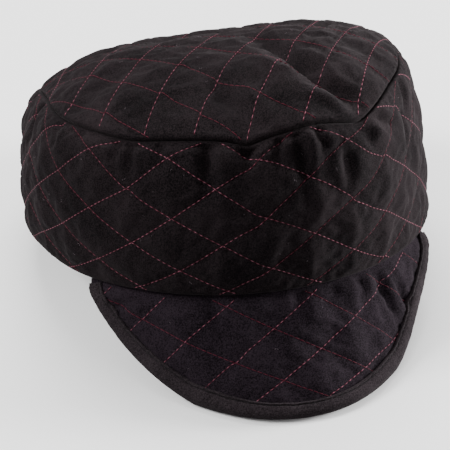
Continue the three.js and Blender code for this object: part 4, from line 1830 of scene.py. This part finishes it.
@dataclass
class Stitcher:
    """Sews rows of single stitches, each a copy of one modelled stitch."""

    thickness: float = 0.35
    bow: float = 0.26
    sink: float = 0.12
    cuts: tuple[float, ...] = (-0.38, -0.2, 0.0, 0.2, 0.38)
    end_from: float = 0.45
    end_share: float = 0.6

    def model_stitch(self) -> tuple[np.ndarray, list[tuple[int, ...]]]:
        """Model one stitch along x, with a length and a thickness of one.

        Returns:
            Its points and its faces.
        """
        put_in_object_mode()
        bpy.ops.mesh.primitive_cylinder_add(vertices=6, radius=0.5, depth=1.0,
                                            rotation=(0, math.pi / 2, 0))
        piece = bpy.context.object
        bpy.ops.object.transform_apply(location=False, rotation=True, scale=False)
        bpy.ops.object.mode_set(mode="EDIT")
        for cut in self.cuts:
            bpy.ops.mesh.select_all(action="SELECT")
            bpy.ops.mesh.bisect(plane_co=(cut, 0, 0), plane_no=(1, 0, 0))
        bpy.ops.object.mode_set(mode="OBJECT")
        points = read_points(piece.data)
        slim = np.where(np.abs(points[:, 0]) > self.end_from, self.end_share, 1.0)
        points[:, 1:] *= slim[:, None]
        faces = [tuple(face.vertices) for face in piece.data.polygons]
        bpy.data.objects.remove(piece, do_unlink=True)
        return points, faces

    def sew(self, name: str, first: np.ndarray, last: np.ndarray, normals: np.ndarray,
            finish: SewingThread, slot: str, thickness: float | None = None,
            shares: np.ndarray | None = None) -> bpy.types.Object:
        """Copy the stitch between pairs of points and join the copies.

        Args:
            name: Name of the piece.
            first: Points where the stitches start, in metres.
            last: Points where they end, in metres.
            normals: Directions out of the cloth.
            finish: Thread of the stitches.
            slot: Not used.
            thickness: Thickness of the thread in millimetres, if not the usual one.
            shares: How much of each stitch's painted highlight is kept, dimmed by painted shade,
                if not all of it.

        Returns:
            The joined stitches.
        """
        points, faces = self.model_stitch()
        across = (self.thickness if thickness is None else thickness) * MILLIMETRE
        middle = (first + last) / 2
        along = last - first
        side = unit(np.cross(normals, along))
        up = unit(np.cross(along, side))
        lift = (self.bow * (1 - (2 * points[:, 0]) ** 2) - self.sink) * MILLIMETRE
        placed = (middle[:, None, :] + along[:, None, :] * points[None, :, 0:1]
                  + side[:, None, :] * points[None, :, 1:2] * across
                  + up[:, None, :] * (points[None, :, 2:3] * across + lift[None, :, None]))
        count = len(points)
        all_faces = [tuple(corner + k * count for corner in face)
                     for k in range(len(first)) for face in faces]
        mesh = bpy.data.meshes.new(name)
        mesh.from_pydata(placed.reshape(-1, 3).tolist(), [], all_faces)
        # Stitch map: its first coordinate is the painted highlight, 1 in each stitch's middle and
        # 0 at its ends, cut down by shares as painted shade.
        painted_highlights = table(1 - 2 * np.abs(points[:, 0]), points[:, 1] + 0.5)
        painted_highlights = np.tile(painted_highlights, (len(first), 1))
        if shares is not None:
            painted_highlights[:, 0] *= np.repeat(shares, count)
        write_map(mesh, "stitch", painted_highlights)
        piece = bpy.data.objects.new(name, mesh)
        bpy.context.scene.collection.objects.link(piece)
        face_outwards(piece)
        bpy.ops.object.shade_smooth()
        mesh.materials.append(finish.make())
        tag_piece(piece)
        return piece


@dataclass
class QuiltingThread:
    """The thread that quilts one panel, line by line, with small jogs at the crossings."""

    panel: PaddedPanel
    finish: SewingThread
    stitcher: Stitcher
    seed: int
    pitch: float = 2.7
    filled: float = 0.93
    wander: float = 0.25
    jog: float = 1.2
    jog_share: float = 0.3
    small_jog: float = 0.12
    crossed_jog: float = 0.1
    # Stitches of this direction get painted shade: their painted highlight is cut to the share
    # below, and on the band the two directions swap this painted shade from side to side.
    sunk: StitchLine = StitchLine.FALLING
    shaded_share: float = 0.5
    swap_half_width: float = 50.0
    swap_left: float = 110.0
    lines: int = 24
    relax: float = 0.35
    # Shares of the crown and of the bill's width, and millimetres, that stitches keep within.
    crown_share: float = 0.995
    bill_share: float = 0.985
    seam_clearance: float = 1.2
    root_clearance: float = 1.6
    tape_overlap: float = 0.4

    def place(self, rising: np.ndarray, falling: np.ndarray) -> np.ndarray:
        """Return flat places of points given by their lines' numbers.

        Args:
            rising: Numbers of the rising lines.
            falling: Numbers of the falling lines.

        Returns:
            One row for each point.
        """
        across, along = self.panel.quilt.place((rising + falling) / 2, (rising - falling) / 2)
        if isinstance(self.panel, CrownTop):
            near = np.hypot(across, along) < 1.5 * self.panel.form.seam_half_width
            across, along = self.panel.pull.pulled(across[near], along[near])
        return table(across, along, np.zeros_like(across))

    def sewn(self, flat: np.ndarray) -> np.ndarray:
        """Return whether flat places lie on the panel, clear of its seams.

        Args:
            flat: Flat places.

        Returns:
            One truth value for each place.
        """
        form = self.panel.form
        if isinstance(self.panel, CrownTop):
            return form.crown_place(flat[:, 0], flat[:, 1])[0] < self.crown_share
        if isinstance(self.panel, SideBand):
            clear = self.seam_clearance
            inside = (flat[:, 1] > clear) & (flat[:, 1] < form.strip_height - clear)
            half = np.pi * form.strip_radius
            around = flat[:, 0] - self.panel.quilt.across
            return inside & (around > -half) & (around <= half)
        angle, distance = form.bill_place(flat[:, 0], flat[:, 1])
        reach = form.bill_reach(angle)
        turned = np.abs(angle) < math.radians(form.bill_half_angle) * self.bill_share
        last = reach - self.panel.tape_width + self.tape_overlap
        return turned & (distance > self.root_clearance) & (distance < last)

    def line_path(self, number: int, line: StitchLine) -> np.ndarray:
        """Lay one stitch line through its crossings.

        Args:
            number: Number of the line.
            line: Direction of the line.

        Returns:
            Corners of the path as flat places.
        """
        spacing = (self.panel.quilt.width * self.panel.quilt.height
                   / math.hypot(self.panel.quilt.width, self.panel.quilt.height))
        crossings = np.arange(-self.lines, self.lines + 1)
        key = self.seed + (17 if line is StitchLine.RISING else 53)
        chance = smooth_hash(crossings * 7.3 + number * 31.7, key)
        stray = (smooth_hash(crossings * 3.1 + number * 11.9, key + 1) - 0.5) * 2
        before = stray * self.wander / spacing
        if line is StitchLine.RISING:
            jump = np.where(chance < self.jog_share, self.jog / spacing,
                            self.small_jog / spacing)
            after = before + jump * np.where(stray > 0, 1, -1)
        else:
            after = before + self.crossed_jog / spacing
        relax = crossings + self.relax
        along = table(crossings, crossings, relax).astype(float).ravel()
        aside = table(number + before, number + after,
                      number + before * 0.5).ravel()
        if line is StitchLine.RISING:
            return self.place(aside, along)
        return self.place(along, aside)

    def cut_at_seams(self, first: np.ndarray, last: np.ndarray) -> tuple[np.ndarray, np.ndarray]:
        """Keep the stitches on the panel and shorten those that run into a seam.

        Args:
            first: Flat places where the stitches start.
            last: Flat places where they end.

        Returns:
            Both ends of the stitches that are kept.
        """
        starts, ends = self.sewn(first), self.sewn(last)
        kept = starts & ends
        from_place, to_place = first.copy(), last.copy()
        for share in (0.35, 0.6, 0.85):
            reached = first + share * (last - first)
            fits = starts & ~ends & self.sewn(reached)
            to_place[fits] = reached[fits]
            kept |= fits
            reached = last - share * (last - first)
            fits = ends & ~starts & self.sewn(reached)
            from_place[fits] = reached[fits]
            kept |= fits
        return from_place[kept], to_place[kept]

    def kept_highlight(self, line: StitchLine, first: np.ndarray) -> np.ndarray:
        """Return how much of each stitch's painted highlight is kept, as one direction gets
        painted shade.

        Args:
            line: Direction of the line.
            first: Flat places where the stitches start.

        Returns:
            Shares of the painted highlights; the two directions swap their painted shade across
            the band.
        """
        painted_shade = np.full(len(first), 1.0 if line is self.sunk else 0.0)
        if isinstance(self.panel, SideBand):
            painted_shade = (ease(-self.swap_half_width, self.swap_half_width, first[:, 0])
                         if line is self.sunk
                         else ease(-self.swap_half_width, -self.swap_left, first[:, 0]))
        return 1 - (1 - self.shaded_share) * painted_shade

    def stitch_ends(self) -> tuple[np.ndarray, np.ndarray, np.ndarray]:
        """Divide every stitch line into single stitches.

        Returns:
            Flat places where they start and end, and how much of each one's painted highlight is
            kept.
        """
        firsts, lasts, shares = [], [], []
        for line in StitchLine:
            for number in range(-self.lines, self.lines + 1):
                path = self.line_path(number, line)
                if len(path) < 2:
                    continue
                start = float(smooth_hash(np.array([number * 1.7]), self.seed)[0]) * self.pitch
                stitches = single_stitches(path, start, self.pitch, self.filled)
                first, last = self.cut_at_seams(*stitches)
                firsts.append(first)
                lasts.append(last)
                shares.append(self.kept_highlight(line, first))
        return np.concatenate(firsts), np.concatenate(lasts), np.concatenate(shares)

    def build(self, sheet: Sheet, name: str) -> bpy.types.Object:
        """Sew the panel.

        Args:
            sheet: The finished panel that the stitches lie on.
            name: Name of the stitches' piece.

        Returns:
            The stitches.
        """
        first, last, shares = self.stitch_ends()
        start, start_out = sheet.land(first)
        end, end_out = sheet.land(last)
        piece = self.stitcher.sew(name, start, end, unit(start_out + end_out), self.finish,
                                  self.panel.slot, shares=shares)
        LOG.info("%s: %d stitches", name, len(first))
        return piece


@dataclass
class Lint:
    """Specks and short fibres of pale lint that cling to the cloth."""

    finish: SewingThread
    stitcher: Stitcher
    seed: int = 11
    thickness: float = 0.15
    bend: float = 2.6
    shortest: float = 0.25
    spread_of_size: float = 1.1

    def build(self, sheet: Sheet, name: str, count: int, middle: tuple[float, float],
              spread: tuple[float, float]) -> bpy.types.Object:
        """Scatter lint over part of a panel.

        Args:
            sheet: The finished panel.
            name: Name of the piece.
            count: Number of fibres.
            middle: Middle of the part, across and along the flat piece.
            spread: Half size of the part, across and along.

        Returns:
            The lint.
        """
        number = np.arange(count, dtype=float)
        draw = [smooth_hash(number * (2.7 + k) + 5.1, self.seed + k) for k in range(5)]
        across = middle[0] + (2 * draw[0] - 1) * spread[0]
        along = middle[1] + (2 * draw[1] - 1) * spread[1]
        turn = 2 * np.pi * draw[2]
        bend = turn + (draw[3] - 0.5) * self.bend
        size = self.shortest + self.spread_of_size * draw[4] ** 3
        flat = np.zeros_like(across)
        a = table(across, along, flat)
        b = a + table(np.cos(turn) * size, np.sin(turn) * size, flat)
        c = b + table(np.cos(bend) * size, np.sin(bend) * size, flat)
        (pa, na), (pb, nb), (pc, _) = sheet.land(a), sheet.land(b), sheet.land(c)
        return self.stitcher.sew(name, np.concatenate([pa, pb]), np.concatenate([pb, pc]),
                                 np.concatenate([na, nb]), self.finish, sheet.panel.slot,
                                 self.thickness)


# ------------------------------------------------------------------ studio


@dataclass(frozen=True)
class Softbox:
    """One square soft light that faces the cap, in watts and metres."""

    name: str
    power: float
    size: float
    place: tuple[float, float, float]


@dataclass
class Studio:
    """Pale floor, soft light and the camera."""

    azimuth: float = -15.34
    elevation: float = 33.08
    roll: float = 0.21
    distance: float = 0.736
    aim: tuple[float, float, float] = (-0.0044, 0.0, 0.0219)
    lens: float = 122.9
    floor_size: float = 6.0
    cap_middle: float = 0.05
    glow: float = 0.52
    softboxes: tuple[Softbox, ...] = (
        Softbox("left_softbox", power=25.0, size=0.5, place=(-1.1, 0.05, 0.95)),
        Softbox("top_softbox", power=20.0, size=0.8, place=(0.1, 0.6, 1.2)),
        Softbox("right_softbox", power=48.0, size=0.45, place=(1.2, -0.1, 0.24)),
    )
    paper: PaperSweep = PaperSweep("matt_white_paper", "#ffffff")

    def build_floor(self) -> None:
        """Lay the floor."""
        put_in_object_mode()
        bpy.ops.mesh.primitive_plane_add(size=self.floor_size)
        floor = bpy.context.object
        floor.name = "studio_floor"
        floor.data.materials.append(self.paper.make())
        floor.visible_diffuse = False

    def add_light(self, box: Softbox) -> None:
        """Hang one soft light.

        Args:
            box: The light.
        """
        light = bpy.data.lights.new(box.name, "AREA")
        light.energy = box.power
        light.size = box.size
        lamp = bpy.data.objects.new(box.name, light)
        lamp.location = box.place
        toward_cap = Vector((0, 0, self.cap_middle)) - Vector(box.place)
        lamp.rotation_euler = toward_cap.to_track_quat("-Z", "Y").to_euler()
        bpy.context.scene.collection.objects.link(lamp)

    def build_light(self) -> None:
        """Light the scene softly from above, behind and both sides."""
        world = bpy.data.worlds.new("studio_world")
        bpy.context.scene.world = world
        world.use_nodes = True
        world.node_tree.nodes.clear()
        glow = add_node(world.node_tree, "ShaderNodeBackground",
                        {"Color": linear("#ffffff"), "Strength": self.glow})
        add_node(world.node_tree, "ShaderNodeOutputWorld", {"Surface": glow.outputs[0]})
        for box in self.softboxes:
            self.add_light(box)

    def build_camera(self) -> None:
        """Stand the camera where the photograph was taken."""
        a, e, r = (math.radians(v) for v in (self.azimuth, self.elevation, self.roll))
        back = Vector((math.sin(a) * math.cos(e), -math.cos(a) * math.cos(e), math.sin(e)))
        right = Vector((math.cos(a), math.sin(a), 0.0))
        up = back.cross(right)
        x_axis = right * math.cos(r) + up * math.sin(r)
        y_axis = up * math.cos(r) - right * math.sin(r)
        place = Vector(self.aim) + back * self.distance
        camera = bpy.data.objects.new("camera", bpy.data.cameras.new("camera"))
        camera.data.lens = self.lens
        camera.data.sensor_width = 36.0
        camera.data.clip_start = 0.01
        turned = Matrix((x_axis, y_axis, back)).transposed().to_4x4()
        camera.matrix_world = Matrix.Translation(place) @ turned
        bpy.context.scene.collection.objects.link(camera)
        bpy.context.scene.camera = camera


# ------------------------------------------------------------------ the whole cap


def build_cap() -> None:
    """Build every piece of the cap."""
    form = CapForm()
    black_cotton = CottonCloth("black_cotton_poplin", dark="#040304", light="#221c1e")
    bill_cotton = CottonCloth("black_purple_cotton_poplin", dark="#080508", light="#272026")
    tape_cotton = CottonCloth("black_cotton_bias_tape", dark="#120e10", light="#302a2d",
                              crinkle_size=2.5, crinkle_relief=0.2)
    # The threads' light colours are painted highlights on the middles of the stitches; their dark
    # colours are also painted shade at the stitch ends.
    pink = SewingThread("rose_polyester_thread", dark="#44071a", light="#875462")
    black = SewingThread("black_polyester_thread", dark="#050405", light="#090808")
    fluff = SewingThread("pale_cotton_lint", dark="#3a3236", light="#766a70", roughness=0.9)
    around = 2 * math.pi * form.strip_radius
    crown = CrownTop("quilted_crown_top", "crown_cloth", form,
                     Quilt(width=28.9, height=38.9, across=4.7, along=-76.7, turn=6.7, puff=1.6),
                     black_cotton, seed=3, roll=1.5, pucker=0.12, rumple=0.08)
    band = SideBand("quilted_side_band", "crown_cloth", form,
                    Quilt(width=around / 16, height=27.7, across=-8.2, along=45.7, turn=0.0,
                          puff=1.9, rise=3.2),
                    black_cotton, seed=8, pucker=0.28, rumple=0.14)
    bill = Bill("quilted_bill", "bill_cloth", form,
                Quilt(width=39.7, height=25.1, across=-10.1, along=15.7, turn=0.5, puff=1.1),
                bill_cotton, most_swell=0.8, rumple=0.4, seed=15)
    stitcher = Stitcher()
    lint = Lint(fluff, stitcher)
    # Per panel: name, direction of its lines dimmed with painted shade, and count, middle and half
    # size of its lint.
    plans = ((crown, "crown", StitchLine.RISING, 50, (0, 0), (60, 60)),
             (band, "band", StitchLine.FALLING, 170, (0, 45), (300, 36)),
             (bill, "bill", StitchLine.FALLING, 14, (0, 25), (60, 20)))
    for seed, (panel, name, sunk, count, middle, spread) in enumerate(plans, start=4):
        piece = panel.build()
        LOG.info("%s: %d faces", piece.name, len(piece.data.polygons))
        sheet = Sheet(panel, piece)
        thread = QuiltingThread(panel, pink, stitcher, seed=seed, sunk=sunk)
        thread.build(sheet, f"{name}_quilting_stitches")
        lint.build(sheet, f"{name}_lint", count, middle, spread)
    binding = BillBinding(form, tape_cotton, black)
    tape = binding.build()
    LOG.info("%s: %d faces", tape.name, len(tape.data.polygons))
    first, last = binding.stitch_ends(pitch=2.7, share_filled=0.75)
    outward = np.tile(np.array(binding.facing), (len(first), 1))
    stitcher.sew("tape_edge_stitches", first, last, outward, black, "tape_cloth", 0.28)


def main() -> None:
    """Build the studio and the cap."""
    logging.basicConfig(level=logging.INFO, format="%(message)s")
    studio = Studio()
    studio.build_camera()
    studio.build_light()
    studio.build_floor()
    build_cap()
    put_in_object_mode()


if __name__ == "__main__":
    main()
